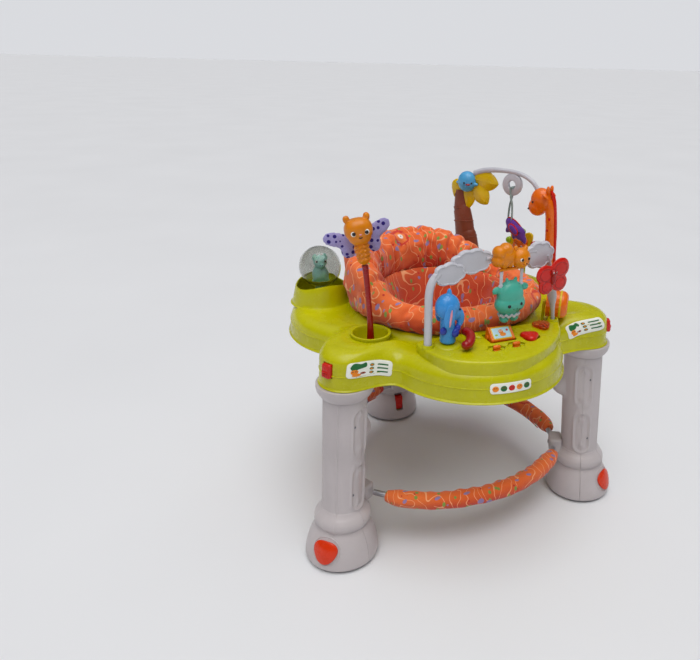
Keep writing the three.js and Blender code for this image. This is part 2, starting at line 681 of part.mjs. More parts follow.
function consolePanel() {
  const height = CONSOLE_TOP - 402;
  const skirt = plate(consoleOutline(-14, 27), height - 8).translate(0, 0, 404);
  const deck = plate(consoleOutline(0, 12), 14.5, 4).translate(0, 0, CONSOLE_TOP - 14.5);
  const body = join(skirt, deck);
  const room = plate(consoleOutline(-14 - CONSOLE_WALL, 27 + CONSOLE_WALL, -CONSOLE_WALL), height - 4).translate(0, 0, 401);
  const spot = (x, y, radius, depth, sides = 16) => rod(radius, depth, sides).translate(x, y, CONSOLE_TOP);
  const drumBay = box(DRUM.length + 6, 2 * DRUM.radius + 6, 30).translate(DRUM.x, DRUM.y, CONSOLE_TOP);
  const slots = Object.values(SLIDES).map(([x, y]) => box(24, 11, 20).translate(x, y, CONSOLE_TOP));
  const open = cut(body, room, drumBay, spot(BUTTON.x, BUTTON.y, BUTTON.radius + 1, 20), ...slots);
  const leaf = ball(11, 9, 7, 8).translate(-34, -214, CONSOLE_TOP);
  return join(
    open, leaf, spot(ELEPHANT.x, ELEPHANT.y, 20, 8), spot(BEAN.x, BEAN.y, 5, 15, 12),
  );
}

function batteryBox() {
  const cell = (x) => box(17, 54, 22).translate(x, -234, 416);
  return join(cell(-84), cell(-68), cell(-52));
}

piece(jumper, 'console_panel', consolePanel(), LIME);
piece(jumper, 'battery_box', batteryBox(), GREY);

// Front arch: local X runs along the arch, local -Y faces outward.
const front = new THREE.Group();
front.position.set(FRONT_ARCH.x, FRONT_ARCH.y, 0);
front.rotation.z = radians(FRONT_ARCH.turn);
jumper.add(front);
const SPAN = FRONT_ARCH.halfSpan;
const BEE = { x: 16, y: -10, z: 598 };
const BUTTERFLY = { x: 104, y: -26, z: 553, radius: 38 };

function cloud(x, z, halfWidth, halfHeight, bumps) {
  const outline = [];
  const steps = bumps * 3;
  for (let i = 0; i < steps; i += 1) {
    const turn = (2 * Math.PI * i) / steps;
    const puff = 1 + 0.06 * Math.cos(bumps * turn);
    outline.push(new THREE.Vector2(halfWidth * puff * Math.cos(turn), halfHeight * puff * Math.sin(turn)));
  }
  return plate(outline, 9).rotateX(Math.PI / 2).translate(x, 4.5, z);
}

function cloudArch() {
  const foot = CONSOLE_TOP + GAP;
  const leftPost = tube([vec(-SPAN, 0, foot), vec(-SPAN, 0, 505), vec(-SPAN, 0, 555),
    vec(-SPAN + 9, 0, 575), vec(-SPAN + 24, 0, 586)], 7, 7, 8);
  const rightPost = loft([
    { at: vec(SPAN, 0, foot), radius: 4 }, { at: vec(SPAN - 3, 0, 476), radius: 5 },
    { at: vec(SPAN - 9, 0, 512), radius: 9 }, { at: vec(SPAN - 14, 0, 540), radius: 7 },
    { at: vec(SPAN - 32, 0, 588), radius: 6 },
  ], 8);
  const bar = rod(4.5, 110, 10).rotateY(Math.PI / 2).translate(26, 0, BEE.z);
  return join(
    leftPost, rightPost, bar,
    cloud(-98, 582, 33, 21, 7), cloud(-56, 595, 44, 24, 8), cloud(88, 590, 34, 26, 7),
  );
}

function bee(archShape) {
  const body = ball(26, 17, 21, 8).translate(-10, 0, 2);
  const head = ball(19, 19, 20, 8).translate(18, -5, -2);
  const ears = [-1, 1].map((side) => ball(4, 4, 6, 6).translate(18 + side * 12, -4, 17));
  const whole = join(body, head, ...ears).translate(BEE.x, BEE.y, BEE.z);
  const hangers = box(54, 7, 4).translate(BEE.x + 2, BEE.y - 6, BEE.z - 20);
  return cut(join(whole, hangers), grown(archShape));
}

const SWING = { x: BEE.x + 2, y: BEE.y - 7, z: BEE.z - 23.5 };
function swingDeer() {
  const straps = [-22, 22].map((x) => box(7, 2.4, 30).translate(x, 0, -14.5));
  const head = ball(31, 18.5, 33, 8).translate(0, 0, -51);
  const ears = [-1, 1].map((side) => ball(10, 5, 6, 6).translate(side * 31, 0, -35));
  const horns = [-1, 1].map((side) => ball(4, 4, 7, 6).translate(side * 9, 0, -20));
  const feet = [-1, 1].map((side) => ball(10, 11, 10, 6).translate(side * 10, 0, -87));
  return join(...straps, head, ...ears, ...horns, ...feet);
}

function butterfly() {
  const outline = [];
  const steps = 16;
  for (let i = 0; i < steps; i += 1) {
    const turn = (2 * Math.PI * i) / steps;
    const reach = BUTTERFLY.radius - 8 + 7 * Math.cos(4 * turn);
    outline.push(new THREE.Vector2(1.15 * reach * Math.cos(turn), reach * Math.sin(turn)));
  }
  const wings = plate(outline, 9, 2).rotateX(Math.PI / 2).translate(0, 4.5, 0);
  const body = ball(6, 7, 16, 8).translate(0, -3, 0);
  const pin = rod(3, 12, 10).rotateX(Math.PI / 2).translate(0, 8, 0);
  return join(wings, body, pin);
}

function switchElephant() {
  const body = ball(14, 14, 26, 8).translate(0, 0, 26);
  const head = ball(24, 22, 27, 8).translate(-2, -2, 66);
  const earRight = ball(6, 12, 18, 8).translate(18, -4, 62);
  const hat = ball(4, 4, 8, 6).translate(0, 0, 93);
  return join(body, head, earRight, hat);
}

function spinDrum() {
  const corner = (turn) => new THREE.Vector2(DRUM.radius * Math.cos(turn), DRUM.radius * Math.sin(turn));
  const sides = [0, 1, 2].flatMap((k) => {
    const middle = Math.PI / 2 + (2 * Math.PI * k) / 3;
    return [corner(middle - 0.22), corner(middle + 0.22)];
  });
  const prism = plate(sides, DRUM.length, 1.5).translate(0, 0, -DRUM.length / 2).rotateY(Math.PI / 2);
  return prism.rotateX(radians(-50));
}

function roundedTriangle(size, height) {
  const outline = [];
  for (let i = 0; i < 12; i += 1) {
    const turn = (2 * Math.PI * i) / 12;
    const reach = size * (0.88 + 0.12 * Math.cos(3 * turn));
    outline.push(new THREE.Vector2(reach * Math.cos(turn), reach * Math.sin(turn)));
  }
  return plate(outline, height, 2);
}

function beanRocker() {
  const lobes = [[-3, -20], [4, -7], [4, 7], [-3, 20]].map(([x, y]) => ball(9, 9, 8, 6).translate(x, y, 0));
  return join(...lobes).rotateX(radians(BEAN.tilt));
}

function slideSwitch() {
  const knob = box(8, 7, 7).translate(0, 0, 4);
  const foot = box(12, 9, 3).translate(0, 0, -0.4);
  return join(knob, foot);
}

function spinBarrel() {
  const { radius: r, length } = BARREL;
  const h = length / 2;
  return lathe([
    [r - 4, -h], [r - 1, -h], [r, -h + 4], [r, h - 6], [r - 7, h], [0, h], [0, h - 3], [r - 8, h - 3],
    [r - 4, h - 7],
  ], 16).rotateY(Math.PI / 2);
}

const archShape = cloudArch();
piece(front, 'cloud_arch', archShape, WHITE);
piece(front, 'bee', bee(archShape), ORANGE);
piece(front, 'swing_deer', swingDeer(), TEAL).position.set(SWING.x, SWING.y, SWING.z);
piece(front, 'butterfly', butterfly(), RED).position.set(BUTTERFLY.x, BUTTERFLY.y, BUTTERFLY.z);
piece(jumper, 'switch_elephant', switchElephant(), BLUE)
  .position.set(ELEPHANT.x, ELEPHANT.y, CONSOLE_TOP + 4 + GAP);
piece(jumper, 'spin_drum', spinDrum(), ORANGE).position.set(DRUM.x, DRUM.y, DRUM.z);
piece(jumper, 'red_button', roundedTriangle(BUTTON.radius, BUTTON.height), RED)
  .position.set(BUTTON.x, BUTTON.y, CONSOLE_TOP - 6);
piece(jumper, 'light_lens', roundedTriangle(LENS.radius, LENS.height), ORANGE)
  .position.set(LENS.x, LENS.y, CONSOLE_TOP + GAP);
const bean = piece(jumper, 'bean_rocker', beanRocker(), DARK_RED);
bean.position.set(BEAN.x, BEAN.y, BEAN.z);
bean.rotation.z = radians(BEAN.turn);
Object.entries(SLIDES).forEach(([side, [x, y]]) => {
  piece(jumper, `${side}_slide_switch`, slideSwitch(), ORANGE).position.set(x, y, CONSOLE_TOP - 3);
});
const barrel = piece(jumper, 'spin_barrel', spinBarrel(), ORANGE);
barrel.position.set(BARREL.x, BARREL.y, BARREL.z);
barrel.rotation.z = radians(BARREL.turn);

export default jumper;
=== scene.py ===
import math

import bpy
import numpy as np
from mathutils import Matrix, Vector, noise


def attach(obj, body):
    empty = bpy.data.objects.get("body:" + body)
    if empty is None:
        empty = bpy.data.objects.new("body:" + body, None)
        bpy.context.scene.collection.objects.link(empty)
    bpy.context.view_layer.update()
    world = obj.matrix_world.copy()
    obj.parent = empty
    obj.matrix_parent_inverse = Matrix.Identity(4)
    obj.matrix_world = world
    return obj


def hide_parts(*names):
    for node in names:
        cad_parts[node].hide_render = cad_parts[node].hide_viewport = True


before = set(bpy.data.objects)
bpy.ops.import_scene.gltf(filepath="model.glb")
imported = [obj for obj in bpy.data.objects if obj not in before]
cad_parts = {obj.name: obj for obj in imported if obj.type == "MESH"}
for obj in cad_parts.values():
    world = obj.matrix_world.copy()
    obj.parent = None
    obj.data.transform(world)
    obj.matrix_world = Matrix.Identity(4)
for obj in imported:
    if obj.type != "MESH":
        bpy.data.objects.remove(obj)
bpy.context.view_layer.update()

# ---------- Camera, at the photograph's viewing angle ----------
AZIMUTH, ELEVATION, ROLL = math.radians(-25.01), math.radians(25.84), math.radians(1.83)
back = Vector((math.sin(AZIMUTH) * math.cos(ELEVATION), -math.cos(AZIMUTH) * math.cos(ELEVATION),
               math.sin(ELEVATION)))
level = Vector((math.cos(AZIMUTH), math.sin(AZIMUTH), 0))
upright = back.cross(level)
right = math.cos(ROLL) * level + math.sin(ROLL) * upright
up = -math.sin(ROLL) * level + math.cos(ROLL) * upright
camera_data = bpy.data.cameras.new("camera")
camera_data.lens = 32.61
camera_data.shift_x = -0.1307
camera_data.shift_y = 0.0451
camera = bpy.data.objects.new("camera", camera_data)
camera.matrix_world = Matrix((right, up, back)).transposed().to_4x4()
camera.location = (-0.5358, -1.1482, 0.9137)
bpy.context.scene.collection.objects.link(camera)
bpy.context.scene.camera = camera


# ---------- Materials ----------
def colour(code, gain=1.0):
    rgb = [(code >> shift & 255) / 255 for shift in (16, 8, 0)]
    return [min(1.0, gain * (c / 12.92 if c <= 0.04045 else ((c + 0.055) / 1.055) ** 2.4)) for c in rgb] + [1]


class Graph:
    """A material's nodes: add one by kind, with its settings and inputs by name."""

    def __init__(self, name):
        self.material = bpy.data.materials.new(name)
        self.material.use_nodes = True
        self.tree = self.material.node_tree
        self.shader = self.tree.nodes["Principled BSDF"]
        self.place = self.add("TexCoord").outputs["Object"]

    def add(self, kind, inputs=None, **settings):
        node = self.tree.nodes.new("ShaderNode" + kind)
        for key, value in settings.items():
            setattr(node, key, value)
        for key, value in (inputs or {}).items():
            self.feed(node.inputs[key], value)
        return node

    def feed(self, socket, value):
        if isinstance(value, bpy.types.NodeSocket):
            self.tree.links.new(value, socket)
        else:
            socket.default_value = value

    def set(self, **values):
        for key, value in values.items():
            self.feed(self.shader.inputs[key.replace("_", " ")], value)

    def noise(self, scale, detail=2.0, rough=0.5, at=None, out="Fac"):
        inputs = {"Vector": at or self.place, "Scale": scale, "Detail": detail, "Roughness": rough}
        return self.add("TexNoise", inputs).outputs[out]

    def span(self, value, low, high, to_low, to_high):
        inputs = {"Value": value, "From Min": low, "From Max": high, "To Min": to_low, "To Max": to_high}
        return self.add("MapRange", inputs).outputs[0]

    def math(self, kind, a, b=0.0):
        return self.add("Math", {0: a, 1: b}, operation=kind).outputs[0]

    def mix(self, factor, a, b, kind="MIX"):
        node = self.add("Mix", data_type="RGBA", blend_type=kind)
        self.feed(node.inputs[0], factor)
        self.feed(node.inputs[6], a)
        self.feed(node.inputs[7], b)
        return node.outputs[2]

    def bump(self, height, strength, distance, under=None):
        inputs = {"Height": height, "Strength": strength, "Distance": distance}
        node = self.add("Bump", inputs)
        if under is not None:
            self.feed(node.inputs["Normal"], under)
        return node.outputs["Normal"]


def plastic(name, code, rough=0.3, coat=0.4, vary=0.14, grain=900, grain_depth=0.00012, glow=0.0):
    """Moulded plastic: faint flow marks, fine orange peel, hazy wear, pale streaks of rubbed dust."""
    g = Graph(name)
    flow = g.noise(11, 4, 0.6)
    streak = g.noise(70, 3, 0.7)
    tone = g.mix(g.span(flow, 0.3, 0.7, 0, 1), colour(code, 1 - vary), colour(code, 1 + vary))
    tone = g.mix(g.span(streak, 0.55, 0.8, 0, 0.05), tone, colour(0xC8BFB0))
    worn = g.noise(38, 5, 0.65)
    peel = g.bump(g.noise(grain, 2), 0.25, grain_depth)
    skin = g.bump(g.noise(55, 2), 0.12, 0.0006, peel)
    g.set(Base_Color=tone, Roughness=g.span(worn, 0.3, 0.75, rough - 0.06, rough + 0.12), Normal=skin,
          Coat_Weight=0.6 * coat, Coat_Roughness=0.12, Specular_IOR_Level=0.3)
    if glow:
        g.set(Subsurface_Weight=glow, Subsurface_Radius=(0.01, 0.006, 0.003), Subsurface_Scale=0.6)
    return g.material


def metal(name, code, rough=0.32):
    """Brushed tube steel."""
    g = Graph(name)
    lines = g.noise(60, 6, 0.8)
    tone = g.mix(g.span(lines, 0.3, 0.7, 0, 1), colour(code, 0.8), colour(code, 1.15))
    g.set(Base_Color=tone, Metallic=0.85, Roughness=g.span(lines, 0.2, 0.8, rough - 0.08, rough + 0.16),
          Normal=g.bump(g.noise(500, 4), 0.15, 0.0002))
    return g.material


def weave(g, period=0.0011):
    """Height of a plain weave, in whatever direction the surface faces."""
    turns = 2 * math.pi / period
    parts = g.add("SeparateXYZ", {0: g.place}).outputs
    waves = [g.math("SINE", g.math("MULTIPLY", axis, turns)) for axis in parts]
    flat = g.math("MULTIPLY", g.math("ADD", waves[0], waves[1]), waves[2])
    return g.math("MULTIPLY_ADD", flat, 0.25)


def printed_cloth(name, deep=0.0):
    """Orange printed cotton: swirling pale lines, red spots, green leaves, lavender ovals, sun rings; painted
    light and shade make it lighter where it faces up and darker where it faces down, and deep mixes in a
    darker orange as painted shade.
    """
    g = Graph(name)
    normal = g.add("NewGeometry").outputs["Normal"]
    facing = g.add("SeparateXYZ", {0: normal}).outputs[2]
    # Painted light and shade: cloth facing up is painted a lighter orange, cloth facing down a darker
    # red-orange.
    lit = g.span(facing, -0.3, 0.9, 0, 1)
    blot = g.noise(7, 3)
    ground = g.mix(lit, colour(0xC42C00), colour(0xEE661C))
    ground = g.mix(g.span(blot, 0.45, 0.7, 0, 0.3), ground, colour(0xF08A40))
    # Painted shade: deep mixes the whole cloth toward a darker red-orange, for the shaded inside of the seat
    # bucket.
    ground = g.mix(deep, ground, colour(0xB82C08))
    bent = g.noise(9, 2, out="Color")
    warped = g.add("VectorMath", {0: bent, 1: (0.16, 0.16, 0.16), 2: g.place}, operation="MULTIPLY_ADD")
    wave = g.add("TexWave", {"Vector": warped.outputs[0], "Scale": 17.0, "Distortion": 7.0, "Detail": 1.0,
                             "Detail Scale": 1.4}).outputs["Fac"]
    tone = g.mix(g.span(wave, 0.972, 0.992, 0, 0.6), ground, colour(0xFFC890))

    def cells(scale, stretch=(1, 1, 1), turn=(0, 0, 0)):
        mapped = g.add("Mapping", {"Vector": g.place, "Scale": stretch, "Rotation": turn}).outputs[0]
        node = g.add("TexVoronoi", {"Vector": mapped, "Scale": scale, "Randomness": 0.85})
        pick = g.add("SeparateColor", {0: node.outputs["Color"]}).outputs
        return node.outputs["Distance"], pick

    def under(value, limit, soft=0.03):
        return g.span(value, limit, limit - soft, 0, 1)

    def chosen(pick, low):
        return g.span(pick, low, low + 0.01, 0, 1)

    spot, kind = cells(64)
    tone = g.mix(g.math("MULTIPLY", under(spot, 0.17), chosen(kind[0], 0.35)), tone, colour(0xC81E14))
    leaf, kind = cells(42, (1.6, 1.6, 0.9), (0.5, 0.3, 0.8))
    tone = g.mix(g.math("MULTIPLY", under(leaf, 0.24), chosen(kind[1], 0.4)), tone, colour(0x7C9A3A))
    oval, kind = cells(36, (1.0, 2.3, 1.0), (0.2, 0.9, 0.4))
    tone = g.mix(g.math("MULTIPLY", under(oval, 0.27), chosen(kind[2], 0.45)), tone, colour(0x8E7AA8))
    sun, kind = cells(9.5)
    ragged = g.math("ADD", sun, g.span(g.noise(160, 1), 0.3, 0.7, -0.03, 0.03))
    shown = chosen(kind[0], 0.38)
    ring = g.math("MULTIPLY", under(ragged, 0.215), g.math("SUBTRACT", 1.0, under(ragged, 0.15)))
    tone = g.mix(g.math("MULTIPLY", ring, shown), tone, colour(0xCE2214))
    tone = g.mix(g.math("MULTIPLY", under(sun, 0.15), shown), tone, colour(0xF07A30))
    tone = g.mix(g.math("MULTIPLY", under(sun, 0.075), shown), tone, colour(0xF6EEE4))
    tone = g.mix(g.math("MULTIPLY", under(sun, 0.03), shown), tone, colour(0x2A1410))
    threads = weave(g)
    fuzz = g.noise(1400, 2)
    tone = g.mix(g.span(fuzz, 0.3, 0.7, 0, 0.14), tone, g.mix(0.5, tone, colour(0xFFE8D0)))
    rumple = g.bump(g.noise(34, 4, 0.55), 0.35, 0.003)
    g.set(Base_Color=tone, Roughness=g.span(fuzz, 0.2, 0.8, 0.78, 0.95), Sheen_Weight=0.25,
          Sheen_Roughness=0.5, Specular_IOR_Level=0.2, Normal=g.bump(threads, 0.35, 0.0003, rumple))
    return g.material


def plush(name, code, dots=None):
    """Short-pile plush, with printed dots where a dot colour is given."""
    g = Graph(name)
    pile = g.noise(700, 4, 0.7)
    tone = g.mix(g.span(pile, 0.3, 0.7, 0, 1), colour(code, 0.8), colour(code, 1.15))
    if dots:
        node = g.add("TexVoronoi", {"Vector": g.place, "Scale": 95.0, "Randomness": 0.6})
        tone = g.mix(g.span(node.outputs["Distance"], 0.36, 0.32, 0, 1), tone, colour(dots))
    g.set(Base_Color=tone, Roughness=0.92, Sheen_Weight=0.6, Sheen_Roughness=0.4, Specular_IOR_Level=0.15,
          Normal=g.bump(pile, 0.5, 0.0008))
    return g.material


def clear(name, code, rough=0.02):
    """Blown clear plastic, slightly smoky, with faint scuffs."""
    g = Graph(name)
    scuff = g.noise(90, 6, 0.7)
    tone = g.mix(g.span(g.noise(6, 2), 0.3, 0.7, 0, 1), colour(code, 0.9), colour(code, 1.1))
    g.set(Base_Color=tone, Roughness=g.span(scuff, 0.5, 0.8, rough, rough + 0.12), Transmission_Weight=1.0,
          IOR=1.18, Coat_Weight=0.35, Coat_Roughness=0.04, Normal=g.bump(g.noise(30, 2), 0.08, 0.0006))
    return g.material


LIME = plastic("lime", 0xBCBA00, 0.24, 0.22, 0.10)
SHELL = plastic("shell", 0xBFB7B8, 0.36, 0.25, 0.06)
WHITE = plastic("white", 0xC6C6CE, 0.3, 0.35, 0.06)
RED = plastic("red", 0xCA1402, 0.24, 0.5)
BADGE = plastic("badge_red", 0xD63202, 0.24, 0.4)
DARK_RED = plastic("dark_red", 0x980C08, 0.25, 0.5)
ORANGE = plastic("orange", 0xEA6C02, 0.25, 0.5)
AMBER = plastic("amber", 0xDE8200, 0.3, 0.35, 0.1, glow=0.1)
GOLD = plastic("gold", 0xE0BA00, 0.26, 0.45)
LEAF_GREEN = plastic("leaf_green", 0x9ABF1E, 0.3, 0.4)
TEAL = plastic("teal", 0x4AAE9A, 0.3, 0.35, 0.08)
PALE_TEAL = plastic("pale_teal", 0xA6E8E0, 0.3, 0.4, glow=0.2)
SKY = plastic("sky", 0x52A8DC, 0.25, 0.5)
BLUE = plastic("blue", 0x3E94DC, 0.24, 0.5)
NAVY = plastic("navy", 0x2A3EA8, 0.26, 0.5)
PINK = plastic("pink", 0xE89AA8, 0.35, 0.3)
BROWN = plastic("brown", 0x84402A, 0.42, 0.2, 0.2)
BLACK = plastic("black", 0x141012, 0.15, 0.6)
EYE_WHITE = plastic("eye_white", 0xF4F2EC, 0.2, 0.5, 0.03)
GREY = plastic("grey", 0x6C6C72, 0.45, 0.1)
STEEL = metal("steel", 0xB9B9BF)
CLOTH = printed_cloth("printed_cloth", 0.0)
# The second cloth is the same print painted darker throughout, as painted shade for the inside of the seat
# bucket.
SHADED_CLOTH = printed_cloth("printed_cloth_painted_shade", 0.45)
STRIPED = plush("strap_cloth", 0x8FA3A0)
VIOLET = plush("violet_plush", 0x6A3FA0)
LILAC = plush("lilac_plush", 0xA29BD0, 0x2F2478)
RED_FELT = plush("red_felt", 0xC81E1A)
SMOKE = clear("smoke", 0xD2D3CE)
LENS = clear("lens", 0xF58A30, 0.12)
PICTURE_BLUE = plastic("picture_blue", 0xB2D6E4, 0.4, 0.2, 0.04)
PAPER = plastic("sticker_paper", 0xEDEFE6, 0.45, 0.2, 0.03)


# ---------- Mesh helpers: a shape is (points in mm, faces) ----------
def full_turn(count):
    return np.linspace(0, 2 * math.pi, count, endpoint=False)


def turn_about(axis, degrees):
    return np.array(Matrix.Rotation(math.radians(degrees), 3, axis))


def moved(shape, x=0.0, y=0.0, z=0.0):
    return shape[0] + np.array([x, y, z]), shape[1]


def spun(shape, axis, degrees):
    return shape[0] @ turn_about(axis, degrees).T, shape[1]


def around(shape, angle, offset=0.0, z=0.0):
    """Moves a shape out along its local +X, then turns it about +Z."""
    return spun(moved(shape, offset, 0, z), "Z", angle)


def grid(points, closed_rows, closed_columns, caps=False):
    """Faces over an array of points shaped (rows, columns, 3)."""
    rows, columns = points.shape[:2]
    faces = []
    for i in range(rows if closed_rows else rows - 1):
        for j in range(columns if closed_columns else columns - 1):
            k, n = (i + 1) % rows, (j + 1) % columns
            faces.append((i * columns + j, i * columns + n, k * columns + n, k * columns + j))
    if caps:
        faces.append(tuple(reversed(range(columns))))
        faces.append(tuple((rows - 1) * columns + j for j in range(columns)))
    return points.reshape(-1, 3), faces


def swept(section_at, turns):
    """A closed [radius, height] section carried round +Z; section_at gives it for each turn."""
    columns = []
    for turn in turns:
        section = section_at(turn)
        columns.append(np.column_stack([section[:, 0] * math.cos(turn), section[:, 0] * math.sin(turn),
                                        section[:, 1]]))
    points, faces = grid(np.array(columns), True, True)
    return points, [tuple(reversed(f)) for f in faces]


def smooth_line(points, steps, closed=False):
    """Catmull-Rom points through a list of points of any dimension."""
    p = np.array(points, float)
    n = len(p)
    spans = n if closed else n - 1
    at = np.linspace(0, spans, steps, endpoint=not closed)
    out = []
    for t in at:
        i = min(int(t), spans - 1)
        f = t - i
        ids = [i - 1, i, i + 1, i + 2]
        a, b, c, d = [p[k % n] if closed else p[min(max(k, 0), n - 1)] for k in ids]
        out.append(0.5 * (2 * b + (c - a) * f + (2 * a - 5 * b + 4 * c - d) * f * f
                          + (3 * b - a - 3 * c + d) * f ** 3))
    return np.array(out)


def lathe(profile, sides=64, smooth=0, closed=False):
    """A [radius, height] profile turned about +Z."""
    p = smooth_line(profile, smooth, closed) if smooth else np.array(profile, float)
    turn = full_turn(sides)
    points = np.stack([np.outer(np.maximum(p[:, 0], 0.01), np.cos(turn)),
                       np.outer(np.maximum(p[:, 0], 0.01), np.sin(turn)),
                       np.repeat(p[:, 1:2], sides, 1)], 2)
    return grid(points, closed, True, caps=not closed)


def pin(radius, half_length, sides=24):
    return lathe([[0.1, -half_length], [radius, -half_length], [radius, half_length], [0.1, half_length]],
                 sides)


def ball(rx, ry=None, rz=None, sides=28, power=1.0):
    """An ellipsoid; power below 1 squares it off."""
    ry, rz = ry or rx, rz or rx
    rows = sides * 2 // 3
    tilt = np.linspace(0.02, math.pi - 0.02, rows)
    turn = full_turn(sides)

    def bent(v):
        return np.sign(v) * np.abs(v) ** power

    points = np.stack([rx * np.outer(bent(np.sin(tilt)), bent(np.cos(turn))),
                       ry * np.outer(bent(np.sin(tilt)), bent(np.sin(turn))),
                       rz * np.repeat(bent(-np.cos(tilt))[:, None], sides, 1)], 2)
    return grid(points, False, True, caps=True)


def tube(points, radius, sides=20, steps=0, flat=1.0, closed=False):
    """A round bar along a line; radius may be one number or one for each point given."""
    given = np.array(points, float)
    radii = np.full(len(given), float(radius)) if np.isscalar(radius) else np.array(radius, float)
    both = np.column_stack([given, radii])
    both = smooth_line(both, steps or 8 * len(given), closed)
    line, radii = both[:, :3], both[:, 3]
    ahead = np.roll(line, -1, 0) - np.roll(line, 1, 0)
    if not closed:
        ahead[0], ahead[-1] = line[1] - line[0], line[-1] - line[-2]
    ahead /= np.linalg.norm(ahead, axis=1)[:, None]
    side = np.cross(ahead[0], [0, 0, 1])
    if np.linalg.norm(side) < 0.1:
        side = np.cross(ahead[0], [0, 1, 0])
    rows = []
    turn = full_turn(sides)
    for centre, way, r in zip(line, ahead, radii):
        side = side - way * (side @ way)
        side /= np.linalg.norm(side)
        over = np.cross(way, side)
        rows.append(centre + r * (np.outer(np.cos(turn), side) + flat * np.outer(np.sin(turn), over)))
    return grid(np.array(rows), closed, True, caps=not closed)


def plate(outline, thick, edge=1.5, rounds=4, dome=0.0):
    """A plate from an outline in XY, standing on z = 0, with rounded edges and a crowned top."""
    p = np.array(outline, float)
    way = np.roll(p, -1, 0) - np.roll(p, 1, 0)
    normal = np.column_stack([way[:, 1], -way[:, 0]])
    normal /= np.maximum(np.linalg.norm(normal, axis=1), 1e-9)[:, None]
    if np.sum(p[:, 0] * np.roll(p[:, 1], -1) - p[:, 1] * np.roll(p[:, 0], -1)) < 0:
        normal = -normal
    angles = np.linspace(math.pi / 2, 0, rounds + 1)
    layers = [(edge * (1 - math.cos(a)), edge * (1 - math.sin(a))) for a in angles]
    layers += [(inset, thick - rise) for inset, rise in reversed(layers)]
    rows = [np.column_stack([p - normal * inset, np.full(len(p), z)]) for inset, z in layers]
    if dome:
        middle = p.mean(0)
        for k in range(1, 6):
            shrink = 1 - k / 6
            ring = middle + (p - normal * edge - middle) * shrink
            rows.append(np.column_stack([ring, np.full(len(p), thick + dome * (1 - shrink ** 2))]))
    return grid(np.array(rows), False, True, caps=True)


def circle(radius, count=48, squeeze=1.0, wave=0.0, bumps=0, phase=0.0):
    turn = full_turn(count)
    r = radius * (1 + wave * np.cos(bumps * turn + phase))
    return np.column_stack([r * np.cos(turn), squeeze * r * np.sin(turn)])


def rounded_box(x, y, z, edge=2.0):
    """A block centred on the origin with rounded edges."""
    corner = min(edge * 1.6, x / 2 - 0.1, y / 2 - 0.1)
    outline = []
    for cx, cy, start in ((1, 1, 0), (-1, 1, 90), (-1, -1, 180), (1, -1, 270)):
        for a in np.radians(np.linspace(start, start + 90, 6)):
            outline.append([cx * (x / 2 - corner) + corner * math.cos(a),
                            cy * (y / 2 - corner) + corner * math.sin(a)])
    return moved(plate(outline, z, min(edge, z / 2 - 0.05)), 0, 0, -z / 2)


def object_from(name, shape):
    mesh = bpy.data.meshes.new(name)
    mesh.from_pydata((np.asarray(shape[0]) * 0.001).tolist(), [], shape[1])
    mesh.update()
    made = bpy.data.objects.new(name, mesh)
    bpy.context.scene.collection.objects.link(made)
    return made


def merged(*shapes):
    points, faces, base = [], [], 0
    for p, f in shapes:
        points.append(p)
        faces += [tuple(i + base for i in face) for face in f]
        base += len(p)
    return np.vstack(points), faces


def evaluated(made):
    """The mesh with its modifiers applied, as a shape; the object is removed."""
    bpy.context.view_layer.update()
    mesh = bpy.data.meshes.new_from_object(made.evaluated_get(bpy.context.evaluated_depsgraph_get()))
    points = np.zeros(len(mesh.vertices) * 3)
    mesh.vertices.foreach_get("co", points)
    shape = points.reshape(-1, 3) * 1000, [tuple(p.vertices) for p in mesh.polygons]
    bpy.data.meshes.remove(mesh)
    bpy.data.objects.remove(made)
    return shape


def moulded(voxel, smooth, *shapes):
    """One soft skin over several overlapping shapes, as a moulded toy has."""
    made = object_from("moulding", merged(*shapes))
    skin = made.modifiers.new("skin", "REMESH")
    skin.mode, skin.voxel_size = "VOXEL", voxel * 0.001
    relax = made.modifiers.new("relax", "SMOOTH")
    relax.factor, relax.iterations = 0.5, smooth
    return evaluated(made)


def carved(shape, *cutters):
    made = object_from("carving", shape)
    tools = []
    for cutter in cutters:
        tool = object_from("cutter", cutter)
        cut = made.modifiers.new("cut", "BOOLEAN")
        cut.operation, cut.solver, cut.object = "DIFFERENCE", "EXACT", tool
        tools.append(tool)
    result = evaluated(made)
    for tool in tools:
        bpy.data.objects.remove(tool)
    return result


class Piece:
    """One visible piece: shapes with their materials, riding on one body."""

    def __init__(self, name, body, *stands_for, slot=None):
        self.name, self.body, self.stands_for, self.slot = name, body, stands_for, slot
        self.points, self.faces, self.marks, self.materials = [], [], [], []
        self.count = 0

    def add(self, material, *shapes):
        if material not in self.materials:
            self.materials.append(material)
        mark = self.materials.index(material)
        for points, faces in shapes:
            self.points.append(np.asarray(points))
            self.faces += [tuple(i + self.count for i in face) for face in faces]
            self.marks += [mark] * len(faces)
            self.count += len(points)
        return self

    def build(self, sharp=38, placed=None):
        points = np.vstack(self.points)
        if placed is not None:
            points = placed(points)
        made = object_from(self.name, (points, self.faces))
        mesh = made.data
        for material in self.materials:
            mesh.materials.append(material)
        mesh.polygons.foreach_set("material_index", self.marks)
        mesh.polygons.foreach_set("use_smooth", [True] * len(mesh.polygons))
        mesh.set_sharp_from_angle(angle=math.radians(sharp))
        mesh.update()
        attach(made, self.body)
        if self.stands_for:
            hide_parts(*self.stands_for)
        return made


def placed_at(x, y, z, angle=0.0):
    """Carries local points to a spot on the object, turned about +Z."""
    rotation = turn_about("Z", angle)
    return lambda points: points @ rotation.T + np.array([x, y, z])


def polar(offset, angle, z=0.0):
    return offset * math.cos(math.radians(angle)), offset * math.sin(math.radians(angle)), z


